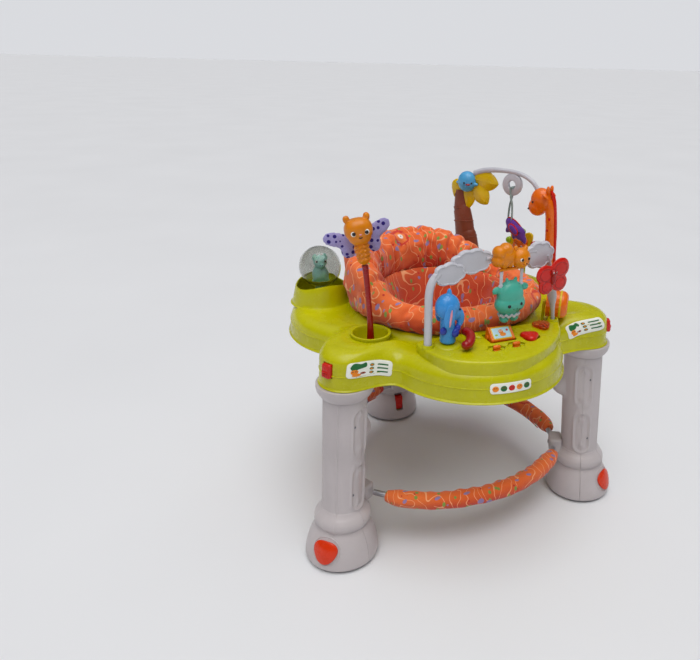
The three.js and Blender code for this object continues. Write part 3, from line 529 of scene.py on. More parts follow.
def eyes(piece, spots, size, way, white=0.0):
    """Round eyes set on a face: a dark bead, on a white disc where white is its radius."""
    way = np.array(way, float) / np.linalg.norm(way)
    for spot in spots:
        spot = np.array(spot, float)
        if white:
            piece.add(EYE_WHITE, moved(ball(white, white, white, 16), *(spot - way * white * 0.55)))
        piece.add(BLACK, moved(ball(size, size, size, 14), *(spot + way * (white * 0.45 - size * 0.45))))


FINISHES = {
    "leg_spring": STEEL, "brake_rocker": RED, "brake_plunger": ORANGE, "caster_fork": GREY,
    "battery_box": GREY,
}
for node_name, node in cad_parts.items():
    finish = next((m for key, m in FINISHES.items() if node_name.endswith(key)), None)
    if finish:
        node.data.materials.clear()
        node.data.materials.append(finish)
        edge = node.modifiers.new("edge", "BEVEL")
        edge.width, edge.segments, edge.limit_method = 0.0012, 3, "ANGLE"


# ---------- Dimensions shared with the CAD, in mm ----------
LEGS = {"left": -150, "right": -30, "rear": 90}
FOOT_OFFSET = 332.5
LEG_LEAN = (332.5 - 303) / 371
FOOT_RING_HEIGHT, FOOT_RING_CENTRE, FOOT_RING_RADIUS = 115, 55, 300
CUP_OFFSET, CUP_ANGLE = 232, -150
GLOBE_OFFSET, GLOBE_ANGLE, GLOBE_HEIGHT, GLOBE_RADIUS = 264, 150, 503, 44
SEAT_BACK = math.radians(119)


def step(value, low, high):
    t = np.clip((np.asarray(value, float) - low) / (high - low), 0, 1)
    return t * t * (3 - 2 * t)


def leaning(points):
    out = np.array(points, float)
    out[:, 0] += FOOT_OFFSET - LEG_LEAN * out[:, 2]
    return out


# ---------- Legs ----------
LEG_LINE = smooth_line([[66.5, 5.0], [70.5, 6.0], [72.5, 10], [72.4, 17], [70.5, 30], [67, 44], [62, 58],
                        [56, 69], [51.5, 75.5], [50.8, 78], [52.6, 80.5], [55, 84.5], [55.8, 91],
                        [54.6, 97.5], [50.5, 104], [46, 109], [42.6, 115], [41, 126], [41, 200], [41, 270],
                        [41, 330], [41, 349]],
                       230)


def obround(u, v, half_width, half_length):
    """Signed distance to the edge of a long round-ended panel."""
    along = np.maximum(np.abs(v) - (half_length - half_width), 0)
    return np.hypot(u, along) - half_width


def relief(angle, z, radius):
    """How far the moulded detail of a leg stands out from the plain tube."""
    out = np.zeros(np.broadcast(angle, z).shape)
    for side in (-1, 1):
        u = (angle - side * math.pi / 2) * radius
        for middle, knob in ((284, -34), (168, 34)):
            edge = obround(u, z - middle, 18, 50)
            out += 2.6 * np.exp(-(edge / 2.6) ** 2) - 1.2 * step(-edge, 1.5, 5)
            out += 2.6 * step(9.5 - np.hypot(u, z - middle - knob), 0, 4)
            star = np.hypot(u, z - middle + knob)
            lobes = 7 + 3 * np.cos(3 * np.arctan2(z - middle + knob, u) + 0.8)
            out += 1.8 * step(lobes - star, 0, 2.5)
        rib = (angle - side * math.radians(26)) * radius
        out += 2.0 * np.exp(-(rib / 1.9) ** 2) * step(z, 72, 84) * (1 - step(z, 338, 347))
    hidden = np.minimum(np.abs(angle - math.pi), np.abs(angle + math.pi))
    boss = step(z, 240, 256) * (1 - step(z, 262, 306))
    out += 22 * boss * np.exp(-(hidden / 0.42) ** 4)
    return out


def half_leg(start, end, columns=100):
    rows = []
    turn = np.linspace(math.radians(start), math.radians(end), columns)
    wrapped = np.where(turn > math.pi, turn - 2 * math.pi, turn)
    for r, z in LEG_LINE:
        out = r + relief(wrapped, z, 41)
        rows.append(np.column_stack([out * np.cos(turn), out * np.sin(turn), np.full(columns, z)]))
    for r, z in ((37, 349), (37, 118), (46, 94), (46, 67), (63, 30), (64, 5)):
        rows.append(np.column_stack([r * np.cos(turn), r * np.sin(turn), np.full(columns, z)]))
    points, faces = grid(np.array(rows), True, False)
    count = len(rows)
    faces.append(tuple(i * columns for i in reversed(range(count))))
    faces.append(tuple(i * columns + columns - 1 for i in range(count)))
    return points, faces


def foot_radius(z):
    return np.interp(z, LEG_LINE[:, 1], LEG_LINE[:, 0])


def on_foot(shape, angle, middle, turn=0.0):
    """Wraps a plate, drawn in XY, onto the flare of the foot."""
    u, v, w = spun(shape, "Z", turn)[0].T
    z = middle + 0.86 * v
    slope = (foot_radius(z + 2) - foot_radius(z - 2)) / 4
    tilt = 1 / np.sqrt(1 + slope ** 2)
    r = foot_radius(z) + w * tilt
    a = math.radians(angle) + u / foot_radius(z)
    return np.column_stack([r * np.cos(a), r * np.sin(a), z - w * slope * tilt]), shape[1]


outer_half = half_leg(-89.7, 89.7)
inner_half = carved(
    half_leg(90.3, 269.7),
    moved(rounded_box(60, 19.6, 46, 3), -66, 0, 56),
    moved(spun(lathe([[4.2, -9], [4.2, 9]], 20), "Y", 90), -66, 0, 262),
)
bracket = moved(rounded_box(30, 44, 34, 5), -54, 0, FOOT_RING_HEIGHT)
bracket_screw = moved(spun(lathe([[0.1, 0], [4, 0], [4.6, 1], [4, 2.4], [0.1, 3]], 24), "Y", -90), -68.5, 0,
                      115)
shield = circle(25, 60, 1.0, 0.07, 3, math.pi / 2 + math.pi)
frame_ring = tube(np.column_stack([circle(30, 40), np.zeros(40)]), 1.3, 8, 80, closed=True)
for side, angle in LEGS.items():
    badge_at = {"left": 14, "right": -30, "rear": 20}[side]
    where = placed_at(0, 0, 0, angle)

    def on_leg(points, where=where):
        return where(leaning(points))

    Piece(f"{side}_leg_front_half", "legs", f"{side}_leg_outer_shell", slot="shell_plastic").add(
        SHELL, outer_half, on_foot(frame_ring, badge_at, 45),
    ).build(50, on_leg)
    Piece(f"{side}_leg_back_half", "legs", f"{side}_leg_inner_shell", slot="shell_plastic").add(
        SHELL, inner_half, bracket).add(
        STEEL, bracket_screw,
        moved(spun(lathe([[0.1, 0], [3.2, 0.2], [3.4, 1]], 16), "Y", -90), -61, 0, 262),
    ).build(50, on_leg)
    Piece(f"{side}_foot_badge", "legs", slot="red_plastic").add(
        BADGE, on_foot(plate(shield, 4.5, 2.2, 5, 2.2), badge_at, 45)).build(60, on_leg)
    screws = [(70, 300), (70, 155), (-70, 300), (-70, 155)]
    screw_head = spun(lathe([[0.1, 0], [2.2, 0], [2.6, 0.5], [2.2, 1.0], [0.1, 0.6]], 16), "Y", 90)
    Piece(f"{side}_leg_screws", "legs").add(
        GREY, *[around(moved(screw_head, 40.7, 0, z), a) for a, z in screws]).build(30, on_leg)
    roller = [[2.5, -4.5], [15.5, -4.5], [17.2, -3.2], [17.5, -1.5], [17.5, 1.5], [17.2, 3.2], [15.5, 4.5],
              [2.5, 4.5]]
    wheel = spun(lathe(roller, 56), "X", 90)
    hub = spun(lathe([[0.1, -5.4], [7, -5.4], [8, -4.4], [8, 4.4], [7, 5.4], [0.1, 5.4]], 32), "X", 90)
    axle = spun(pin(3, 8), "X", 90)
    tread = [moved(wheel, 0, y, 0) for y in (-8.2, 8.2)]
    hubs = [moved(hub, 0, y, 0) for y in (-8.2, 8.2)]
    x, y, _ = polar(328.13, angle)
    Piece(f"{side}_twin_wheels", f"{side}_caster_wheels", f"{side}_caster_wheels", slot="white_plastic").add(
        GREY, *tread).add(WHITE, *hubs).add(STEEL, axle).build(35, placed_at(x, y, 17.5, angle))


# ---------- Foot ring ----------
def foot_arc(start, end, count):
    x = np.linspace(start, end, count)
    y = FOOT_RING_CENTRE - np.sqrt(FOOT_RING_RADIUS ** 2 - x ** 2)
    return np.column_stack([x, y, np.full(count, float(FOOT_RING_HEIGHT))])


PAD_SPAN = {"front": (-190, 196), "right": (-192, 192), "left": (-192, 192)}
ARC_TURN = {"front": 0, "right": 120, "left": -120}


def inflated(shape, voxel, cap, pressure=4.0, steps=20):
    """Stuffed fabric: the shape is remeshed, blown up as cloth, and held within cap mm of where it was."""
    made = object_from("stuffing", shape)
    skin = made.modifiers.new("skin", "REMESH")
    skin.mode, skin.voxel_size = "VOXEL", voxel * 0.001
    start = evaluated(made)
    made = object_from("stuffing", start)
    cloth = made.modifiers.new("cloth", "CLOTH")
    cloth.settings.use_pressure = True
    cloth.settings.uniform_pressure_force = pressure
    cloth.settings.effector_weights.gravity = 0
    cloth.settings.quality = 4
    cloth.settings.mass = 0.2
    cloth.settings.tension_stiffness = 12
    cloth.settings.compression_stiffness = 6
    cloth.settings.bending_stiffness = 0.4
    cloth.settings.shrink_min = -0.04
    cloth.point_cache.frame_start, cloth.point_cache.frame_end = 1, steps
    for current in range(1, steps + 1):
        bpy.context.scene.frame_set(current)
    blown, faces = evaluated(made)
    bpy.context.scene.frame_set(1)
    shift = blown - start[0]
    length = np.linalg.norm(shift, axis=1)[:, None]
    return start[0] + shift * np.minimum(1, cap / np.maximum(length, 1e-6)), faces


def subdivided(shape, levels=1):
    made = object_from("fine", shape)
    fine = made.modifiers.new("fine", "SUBSURF")
    fine.levels = levels
    return evaluated(made)


def vertex_normals(shape):
    made = object_from("normals", shape)
    normals = np.zeros(len(made.data.vertices) * 3)
    made.data.vertex_normals.foreach_get("vector", normals)
    bpy.data.objects.remove(made)
    return normals.reshape(-1, 3)


def raised(shape, height):
    """The shape with each point moved out along its normal."""
    return shape[0] + vertex_normals(shape) * height[:, None], shape[1]


def roughness_of(points, size, seed):
    """Smooth noise at each point, for rumples of about that size in mm."""
    offset = Vector((seed * 7.3, seed * 3.1, seed * 5.7))
    return np.array([noise.noise(Vector(p) / size + offset) for p in points])


for side, (start, end) in PAD_SPAN.items():
    where = placed_at(0, 0, 0, ARC_TURN[side])
    bar = tube(foot_arc(-214, 214, 21), 6, 24, 80)
    Piece(f"{side}_bar", "legs", f"{side}_foot_tube", slot="steel").add(STEEL, bar).build(40, where)
    line = foot_arc(start, end, 25)
    radii = np.full(25, 18.2)
    radii[[0, -1]] = 11.5
    radii[[1, -2]] = 16.5
    sleeve = subdivided(inflated(tube(line, radii, 24, 90), 5.0, 6))
    points = sleeve[0]
    turn = np.arctan2(points[:, 0], FOOT_RING_CENTRE - points[:, 1])
    inner = step(FOOT_RING_RADIUS - np.hypot(points[:, 0], points[:, 1] - FOOT_RING_CENTRE), -2, 14)
    gather = np.cos(turn * 62) * inner * step(points[:, 2], 112, 126)
    ends = step(np.abs(points[:, 0]), 150, 190)
    tucks = np.cos(np.arctan2(points[:, 2] - 115, points[:, 1] - line[12, 1]) * 9) * ends
    depth = -1.6 * (1 - gather) * inner + 0.9 * tucks + 1.6 * roughness_of(points, 26, len(side))
    pad = Piece(f"{side}_bar_pad", "legs", f"{side}_foot_pad", slot="orange_fabric").add(
        CLOTH, raised(sleeve, depth)).build(180, where)
    seam_line = foot_arc(start + 22, end - 22, 60)
    seam_line[:, :2] += 11.8 * ([0, FOOT_RING_CENTRE] - seam_line[:, :2]) / FOOT_RING_RADIUS
    seam_line[:, 2] -= 11.8
    Piece(f"{side}_bar_pad_seam", "legs").add(CLOTH, tube(seam_line, 1.3, 8, 120)).build(60, where)


# ---------- Tray ----------
def angle_from_leg(turn):
    third = 2 * math.pi / 3
    local = np.mod(turn - math.pi / 2, third)
    return np.minimum(local, third - local)


TOY_LOBES = ((-93, 160, 176), (30, 165, 183), (150, 157, 174))  # angle, offset, radius
LEG_LOBE_OFFSET, LEG_LOBE_RADIUS, LEG_LOBE_END = 297, 54, math.radians(10.3)
FLARE_REACH, FLARE_SLOPE, LOBE_BLEND = 247, 0.65, 24
TRAY_TOP_LOW, LEG_LOBE_RISE, FRONT_LOBE_RISE = 431, 15, 5


def tray_outline(turn):
    """Wide round toy lobes and narrow leg lobes whose sides flare out into them."""
    turn = np.asarray(turn, float)
    aways, reaches = [], []
    for angle, offset, radius in TOY_LOBES:
        away = np.abs(np.mod(turn - math.radians(angle) + math.pi, 2 * math.pi) - math.pi)
        aways.append(away)
        reaches.append(offset * np.cos(away) + np.sqrt(radius ** 2 - (offset * np.sin(away)) ** 2))
    toy = np.where(aways[0] < np.minimum(aways[1], aways[2]), reaches[0],
                   np.where(aways[1] < aways[2], reaches[1], reaches[2]))
    off_leg = angle_from_leg(turn)
    sideways = LEG_LOBE_OFFSET * np.sin(off_leg)
    end = LEG_LOBE_OFFSET * np.cos(off_leg) + np.sqrt(np.maximum(LEG_LOBE_RADIUS ** 2 - sideways ** 2, 0))
    flare = FLARE_REACH / (np.sin(off_leg) + FLARE_SLOPE * np.cos(off_leg))
    leg = np.where(off_leg > LEG_LOBE_END, flare, end)
    blend = np.maximum(LOBE_BLEND - np.abs(toy - leg), 0) / LOBE_BLEND
    return np.maximum(toy, leg) + blend * blend * LOBE_BLEND / 4


def tray_radius(turn):
    return sum(tray_outline(np.asarray(turn, float) + math.radians(d)) for d in (-2, -1, 0, 1, 2)) / 5


def tray_top_at(turn):
    front = step(np.cos(turn + math.radians(93)), 0.72, 0.9)
    leg = 1 - step(angle_from_leg(turn), math.radians(8), math.radians(22))
    return TRAY_TOP_LOW + LEG_LOBE_RISE * leg + FRONT_LOBE_RISE * front


SHELL_TURNS = full_turn(400)


def tray_side(turn):
    """The outside of the tray from its opening to the lip under its skirt, as [radius, height]."""
    r, top = float(tray_radius(turn)), float(tray_top_at(turn))
    crest = max(r - 64, 214)
    return smooth_line([
        [178, 406], [178, 428], [179.5, 438], [184.5, 443], [191, 441], [198, 435], [206, 431.6],
        [crest, top], [r - 42, top - 0.2], [r - 30, top - 1.2], [r - 20, top - 4], [r - 11.5, top - 10.5],
        [r - 6.5, top - 20], [r - 4, min(top - 34, 397)], [r - 2.8, 386], [r - 2.2, 380.5],
    ], 64), r, top, crest


def tray_section(turn):
    outside, r, top, crest = tray_side(turn)
    lip = [[r - 1.2, 379], [r + 0.6, 378.3], [r + 1.2, 377.3], [r + 0.6, 376.2], [r - 2, 376.1]]
    inside = [[r - 5.4, min(top - 39, 394)], [r - 24, top - 8.5], [crest, top - 3.2], [206, 427.8],
              [183, 438], [181.2, 406]]
    return np.vstack([outside, lip, inside])


def skirt_rib(height=404):
    """A thin raised line round the skirt, level all the way."""
    line = []
    for turn in SHELL_TURNS[::2]:
        side = tray_side(turn)[0]
        outer = side[side[:, 0] > side[:, 0].max() - 60]
        r = np.interp(-height, -outer[:, 1], outer[:, 0]) - 0.2
        line.append([r * math.cos(turn), r * math.sin(turn), height])
    return tube(line, 1.3, 8, 400, closed=True)


CONSOLE_X, CONSOLE_Y, CONSOLE_BACK = 25, -143, -187
CONSOLE_LONG, CONSOLE_SHORT, CONSOLE_TURN = 201, 146, math.radians(52.2)


def console_outline(grow, inset=12, count=72):
    """The front of a turned ellipse, kept inside the tray's edge."""
    c, d = math.cos(CONSOLE_TURN), math.sin(CONSOLE_TURN)
    a, b = CONSOLE_LONG + grow, CONSOLE_SHORT + grow
    shift, size = math.atan2(a * d, b * c), math.hypot(a * d, b * c)
    dip = math.asin((CONSOLE_BACK - CONSOLE_Y + min(grow, 0)) / size)
    t = np.linspace(math.pi - dip, 2 * math.pi + dip, count) - shift
    x = CONSOLE_X + a * np.cos(t) * c - b * np.sin(t) * d
    y = CONSOLE_Y + a * np.cos(t) * d + b * np.sin(t) * c
    reach = np.hypot(x, y)
    limit = np.minimum(reach, tray_radius(np.arctan2(y, x)) - inset + min(grow, 0)) / reach
    return np.column_stack([x * limit, y * limit])


cup_x, cup_y, _ = polar(CUP_OFFSET, CUP_ANGLE)
globe_x, globe_y, _ = polar(GLOBE_OFFSET, GLOBE_ANGLE)
tray_skin = carved(
    swept(tray_section, SHELL_TURNS),
    moved(lathe([[33, 0], [33, 40]], 64), cup_x, cup_y, 415),
    *[around(rounded_box(30, 21.4, 27.4, 1.2), a, 346, 413) for a in LEGS.values()],
)
cup = moved(lathe([
    [0.1, 402], [31, 402], [35, 408], [35.2, 440], [38, 446.5], [37.6, 448.8], [35.5, 449.5], [33.2, 448.6],
    [31, 444], [30.6, 412], [27, 407], [0.1, 407],
], 72), cup_x, cup_y)
globe_floor = moved(lathe([[0.1, 423], [59, 423], [59, 428], [6, 428], [6, 442], [0.1, 442]], 48), globe_x,
                    globe_y)


def cradle():
    """A round base with a wall whose edge rises at two sides, under the clear ball."""
    turn = full_turn(96)
    peaks = 0.5 + 0.5 * np.cos(2 * (turn - math.radians(GLOBE_ANGLE - 55)))
    rim = 464 + 12 * peaks ** 1.2
    rows = []
    for r, share in ((66, 0.0), (62.5, 0.05), (60.5, 0.2), (58.5, 0.45), (55.8, 0.75), (54, 0.93),
                     (52.4, 1.0), (50.4, 0.99), (50, 0.92), (52.5, 0.6), (56, 0.15), (57, 0.0)):
        z = 428 + share * (rim - 428)
        rows.append(np.column_stack([r * np.cos(turn), r * np.sin(turn), z]))
    points, faces = grid(np.array(rows), True, True)
    return moved((points, faces), globe_x, globe_y)


tiger_post = [moved(rounded_box(8, 14, 81, 2.5), 322, -12, 464.5),
              moved(spun(pin(3.5, 8), "Y", 90), 312, -12, 500)]
tiger_post = [spun(s, "Z", 30) for s in tiger_post]
BARREL = (171, -168, 474)
barrel_post = [
    moved(spun(moved(s, *shift), "Z", -38), *BARREL) for s, shift in (
        (rounded_box(6, 12, 52, 2), (-26, 0, -20)),
        (spun(pin(3.5, 19), "Y", 90), (-4, 0, 0)),
    )
]
Piece("tray_shell", "tray", "tray_top", slot="lime_plastic").add(
    LIME, tray_skin, skirt_rib(), cup, cradle(), globe_floor, *tiger_post, *barrel_post).build(42)

collar = [
    [24, 300], [28, 300], [28, 390], [38.5, 391], [38.5, 368], [44.5, 367], [44, 352], [44.6, 351],
    [46.5, 353], [49.5, 357], [52.2, 362.5], [53.6, 368], [53.8, 375], [52, 375.6], [42, 375.6],
    [42, 394], [24, 394],
]
under = Piece("tray_underframe", "tray", "tray_base", slot="shell_plastic")
under.add(SHELL, lathe([[150, 384], [187, 384], [187, 403.5], [150, 403.5]], 120, closed=True))
for angle in LEGS.values():
    neck = lathe(collar, 72, closed=True)
    under.add(SHELL, spun((leaning(neck[0]), neck[1]), "Z", angle))
    under.add(SHELL, around(rounded_box(92, 60, 8, 2.5), angle, 222, 388))
under.build(40)


# ---------- Seat ----------
Piece("seat_turning_ring", "seat", "seat_ring", slot="white_plastic").add(WHITE, lathe([
    [144, 404], [173.4, 404], [174, 404.8], [174, 439], [173, 440], [170, 440], [169, 439], [167.4, 412],
    [166, 410], [144, 410],
], 144, closed=True)).build(35)


def seat_rise(turn):
    return 68 * step(np.cos(turn - SEAT_BACK), -0.3, 0.9)


def pad_section(turn):
    rise = float(seat_rise(turn))
    top = 492 + rise
    return smooth_line([
        [150, 448], [176, 447], [187, 454], [194, 467], [193, 480], [189, 484 + 0.4 * rise], [187, top - 10],
        [179, top - 1], [166, top + 1], [153, top - 6], [143, top - 22], [139, 474 + 0.3 * rise], [139, 460],
    ], 40, closed=True)


pad = subdivided(inflated(swept(pad_section, full_turn(150)), 5.5, 7.5, 4.5))
points = pad[0]
turn = np.arctan2(points[:, 1], points[:, 0])
radial = np.hypot(points[:, 0], points[:, 1])
height_share = step(points[:, 2], 452, 500)
depth = np.zeros(len(points))
FOLDS = [(-168, 6, 7, 0.5), (-128, 5, 6, -0.7), (-96, 4.5, 7, 0.5), (-70, 4.5, 5, -0.4), (-40, 5, 6, 0.6),
         (-12, 4, 5, -0.5), (18, 4.5, 5, 0.4), (42, 5, 5, -0.3), (52, 3.5, 4, -0.2), (61, 4.5, 5, -0.2),
         (72, 3.5, 4, 0.1), (84, 5, 5, 0.2), (118, 6, 5, -0.15), (150, 5, 6, 0.3), (176, 5, 6, -0.4)]
for at, deep, wide, slant in FOLDS:
    lean_turn = math.radians(at) + slant * (radial - 165) / 165 + 0.3 * slant * (points[:, 2] - 475) / 165
    gap = np.mod(turn - lean_turn + math.pi, 2 * math.pi) - math.pi
    depth -= deep * np.exp(-(gap * 165 / wide) ** 2) * (0.35 + 0.65 * height_share)
    depth += 0.4 * deep * np.exp(-((np.abs(gap * 165) - 2.2 * wide) / (1.3 * wide)) ** 2)
depth += 3.4 * roughness_of(points, 38, 3) + 1.4 * roughness_of(points, 15, 5)
channel = np.exp(-((radial - 163) / 3.4) ** 2) * step(points[:, 2], 480, 500)
depth -= 2.4 * channel
over_edge = step(points[:, 2], 470, 492) * step(radial, 170, 196)
bulge = 8 * step(np.cos(turn - math.radians(163)), 0.7, 1) * over_edge
points, faces = raised(pad, depth + bulge)
points[:, 2] = np.maximum(points[:, 2], 444.2)
rim = Piece("seat_rim_pad", "seat", "seat_pad", slot="orange_fabric").add(CLOTH, (points, faces)).build(180)

BUCKET = smooth_line([[0.1, 286], [30, 286.5], [56, 291], [82, 306], [97, 332], [106, 362], [113, 402],
                      [120, 440], [129, 466], [136, 476]], 44)


def bucket_skin():
    inner_side = BUCKET - np.array([5.0, -1.5])
    inner_side[:, 0] = np.maximum(inner_side[:, 0], 0.1)
    inner_side[:3, 1] += 4
    shape = lathe(np.vstack([BUCKET, inner_side[::-1]]), 120)
    holes = []
    for side in (-38, 38):
        hole = spun(lathe([[40, -60], [40, 60]], 48), "Y", 68)
        holes.append(spun(moved(hole, 88, 0, 330), "Z", side + 299))
    return carved(shape, *holes)


bucket = bucket_skin()
points = bucket[0]
turn = np.arctan2(points[:, 1], points[:, 0])
radial = np.hypot(points[:, 0], points[:, 1])
gathers = np.cos(turn * 14 + 0.02 * points[:, 2]) * step(radial, 60, 110)
wrinkle = 2.6 * roughness_of(points, 30, 9) + 1.3 * gathers
outward = np.column_stack([np.cos(turn), np.sin(turn), np.zeros(len(turn))])
points = points + outward * (wrinkle * step(radial, 30, 80))[:, None]
# The bucket cloth is the darker painted-shade copy of the print.
sling = Piece("seat_bucket_cloth", "seat", "seat_sling", slot="orange_fabric").add(
    SHADED_CLOTH, (points, bucket[1]))
for side in (-38, 38):
    turn = full_turn(40)
    loop = np.column_stack([40.5 * np.cos(turn), 40.5 * np.sin(turn), np.zeros(40)]) @ turn_about("Y", 68).T
    loop = (loop + [88, 0, 330]) @ turn_about("Z", side + 299).T
    reach = np.hypot(loop[:, 0], loop[:, 1])
    wall = np.interp(loop[:, 2], BUCKET[:, 1], BUCKET[:, 0]) - 2.5
    loop[:, :2] *= (wall / reach)[:, None]
    sling.add(RED_FELT, tube(loop, 3.2, 10, 80, closed=True))
sling = sling.build(70)


# ---------- Stickers: generic coloured pictures ----------
SKIRT_LINE = smooth_line([[-42, -0.2], [-30, -1.2], [-20, -4], [-11.5, -10.5], [-6.5, -20], [-4, -34],
                          [-2.8, -45], [-2.2, -56]],
                         90)
SKIRT_RUN = np.concatenate([[0], np.cumsum(np.linalg.norm(np.diff(SKIRT_LINE, axis=0), axis=1))])


def on_skirt(shape, turn, drop, tilt=0.0):
    """Lays a flat shape on the tray's outer slope: +Y runs up the slope, drop mm below its crest."""
    u, v, w = spun(shape, "Z", tilt)[0].T
    run = drop - v
    inset = np.interp(run, SKIRT_RUN, SKIRT_LINE[:, 0])
    fall = np.interp(run, SKIRT_RUN, SKIRT_LINE[:, 1])
    ahead = np.interp(run + 1, SKIRT_RUN, SKIRT_LINE[:, 0]) - inset
    below = np.interp(run + 1, SKIRT_RUN, SKIRT_LINE[:, 1]) - fall
    centre = math.radians(turn)
    a = centre + u / float(tray_radius(centre))
    r = tray_radius(a) + inset + w * -below
    return np.column_stack([r * np.cos(a), r * np.sin(a), tray_top_at(a) + fall + w * ahead]), shape[1]


def patch(outline, lift, thick=0.35):
    """A thin flat shape with rows of points inside it, so that it can bend."""
    p = np.array(outline, float)
    middle = p.mean(0)
    rows = [np.column_stack([middle + (p - middle) * s, np.full(len(p), lift + thick)]) for s in
            (0.05, 0.25, 0.5, 0.75, 0.97)]
    rows.append(np.column_stack([p, np.full(len(p), lift)]))
    points, faces = grid(np.array(rows), False, True)
    faces.append(tuple(reversed(range(len(p)))))
    return points, [tuple(reversed(f)) for f in faces]


def rectangle(x, y, width, height, corner=1.0, steps=5):
    points = []
    for cx, cy, start in ((1, 1, 0), (-1, 1, 90), (-1, -1, 180), (1, -1, 270)):
        for a in np.radians(np.linspace(start, start + 90, steps)):
            points.append([x + cx * (width / 2 - corner) + corner * math.cos(a),
                           y + cy * (height / 2 - corner) + corner * math.sin(a)])
    out = []
    for i, here in enumerate(points):
        there = points[(i + 1) % len(points)]
        count = max(1, int(math.dist(here, there) / 2.5))
        out += [np.array(here) + (np.array(there) - here) * k / count for k in range(count)]
    return np.array(out)


def dot(x, y, lift, radius, count, squeeze=1.0):
    return patch(circle(radius, count, squeeze) + [x, y], lift)


INK = plastic("ink_green", 0x1E6A34, 0.42, 0.15)
INK_ORANGE = plastic("ink_orange", 0xEE8A1C, 0.42, 0.15)
INK_BROWN = plastic("ink_brown", 0x8A3A22, 0.42, 0.15)


def picture_sticker():
    """White card with a leaf and a small animal at the left and three slider rows at the right."""
    rows = [(8, 5.6), (8, 0), (8, -5.6)]
    leaf = smooth_line([[-19, 4], [-16, 10.5], [-10, 8.5], [-6, 10], [-5, 4], [-10, 1.5], [-16, 0]], 40,
                       closed=True)
    return [
        (PAPER, [patch(rectangle(0, 0, 46, 24, 5), 0.3)]),
        (INK, [patch(leaf, 0.7)] + [patch(rectangle(x + 3, y, 13, 2.1, 0.8), 0.7) for x, y in rows]
         + [dot(-0.5, y, 0.7, 2.0, 16) for x, y in rows]),
        (INK_ORANGE, [dot(-0.5, y, 1.0, 1.1, 12) for x, y in rows]
         + [dot(-15, -2.6, 0.8, 3.4, 20, 1.1), dot(-13, -7.4, 0.8, 3.9, 20, 0.6)]),
        (INK_BROWN, [dot(-16.2, -1.8, 1.1, 0.8, 10), dot(-13.6, -1.8, 1.1, 0.8, 10),
                     dot(-7.6, -5.2, 0.8, 2.3, 16, 0.7)]),
    ]


for side, turn, drop, tilt, size in (("left", -139, 54, -2, 1.2), ("right", -40.5, 41, 6, 1.25)):
    card = Piece(f"{side}_picture_sticker", "tray")
    for ink, shapes in picture_sticker():
        card.add(ink, *[on_skirt((s[0] * [size, size, 1], s[1]), turn, drop, tilt) for s in shapes])
    card.build(60)

strip = Piece("front_picture_strip", "tray")
STRIP_AT = -93.5, 55.5
strip.add(PAPER, on_skirt(patch(rectangle(0, 0, 80, 19, 6), 0.3), *STRIP_AT))
for x, ink in ((-30, INK_ORANGE), (-15, INK), (0, RED), (15, INK_ORANGE), (30, INK)):
    strip.add(ink, on_skirt(dot(x, -0.5, 0.7, 6.0, 24, 0.85), *STRIP_AT))
    strip.add(INK_BROWN, on_skirt(dot(x - 1.8, 0.8, 1.1, 1.0, 10), *STRIP_AT),
              on_skirt(dot(x + 1.8, 0.8, 1.1, 1.0, 10), *STRIP_AT))
strip.build(60)


# ---------- Console ----------
DRUM = (8, -228, 455)
DRUM_RADIUS, DRUM_LENGTH = 18, 48
BUTTON_AT, LENS_AT, BEAN_AT, ELEPHANT_AT = (62, -247), (108, -214), (-67, -249), (-95, -226)
SLIDES = {"left": (-20, -270), "right": (21, -268)}


def rounded_triangle(size, count=60, share=0.12):
    turn = full_turn(count)
    r = size * (1 - share + share * np.cos(3 * turn))
    return np.column_stack([r * np.cos(turn), r * np.sin(turn)])


def deck_line(grow):
    """The console's edge as a smooth closed line, with its two back corners rounded."""
    outline = console_outline(grow, 12, 60)
    start, end = outline[-1], outline[0]
    back = start + (end - start) * np.linspace(0, 1, 24)[1:-1, None]
    both = np.vstack([outline, back])
    for _ in range(3):
        both = 0.5 * both + 0.25 * (np.roll(both, 1, 0) + np.roll(both, -1, 0))
    return both


deck = carved(
    plate(deck_line(0), 46, 5, 7),
    moved(rounded_box(DRUM_LENGTH + 6, 2 * DRUM_RADIUS + 6, 60, 3), DRUM[0], DRUM[1], 46),
    moved(plate(rounded_triangle(20.4), 20, 0.5, 1), *BUTTON_AT, 36),
    *[moved(plate(circle(17.5, 72, 0.74, 0.09, 6), 10, 0.5, 1), x, y, 41.4) for x, y in SLIDES.values()],
    *[moved(rounded_box(21, 8.6, 20, 1), x, y, 40) for x, y in SLIDES.values()],
)
leaf_boss = moulded(1.1, 4, moved(ball(13, 6, 7, 24), -38, -212, 452),
                    moved(spun(ball(10, 5, 6, 24), "Z", 55), -30, -208, 452),
                    moved(spun(ball(9, 5, 6, 24), "Z", -40), -31, -219, 451))
socket = lathe([[7.5, 450], [11, 450], [11, 454], [9.8, 456.5], [7.5, 456.5]], 40, closed=True)
elephant_base = lathe([[0.1, 451], [26, 451], [25, 453.4], [23, 454.6], [20.5, 455.6], [0.1, 455.8]], 56)
deck_piece = Piece("console_deck", "tray", "console_panel", slot="lime_plastic")
deck_piece.add(LIME, moved(deck, 0, 0, 406), leaf_boss, moved(socket, -131.2, -221.9),
               moved(socket, 147.2, -192.1), moved(elephant_base, *ELEPHANT_AT),
               moved(lathe([[0.1, 449], [6.4, 449], [5.2, 455], [4.8, 459], [0.1, 459.4]], 32), *BEAN_AT))
for x, y in SLIDES.values():
    ring = np.column_stack([circle(18.2, 60, 0.75, 0.09, 6), np.zeros(60)])
    deck_piece.add(LIME, moved(tube(ring, 1.3, 8, 120, closed=True), x, y, 452))
deck_piece.build(42)

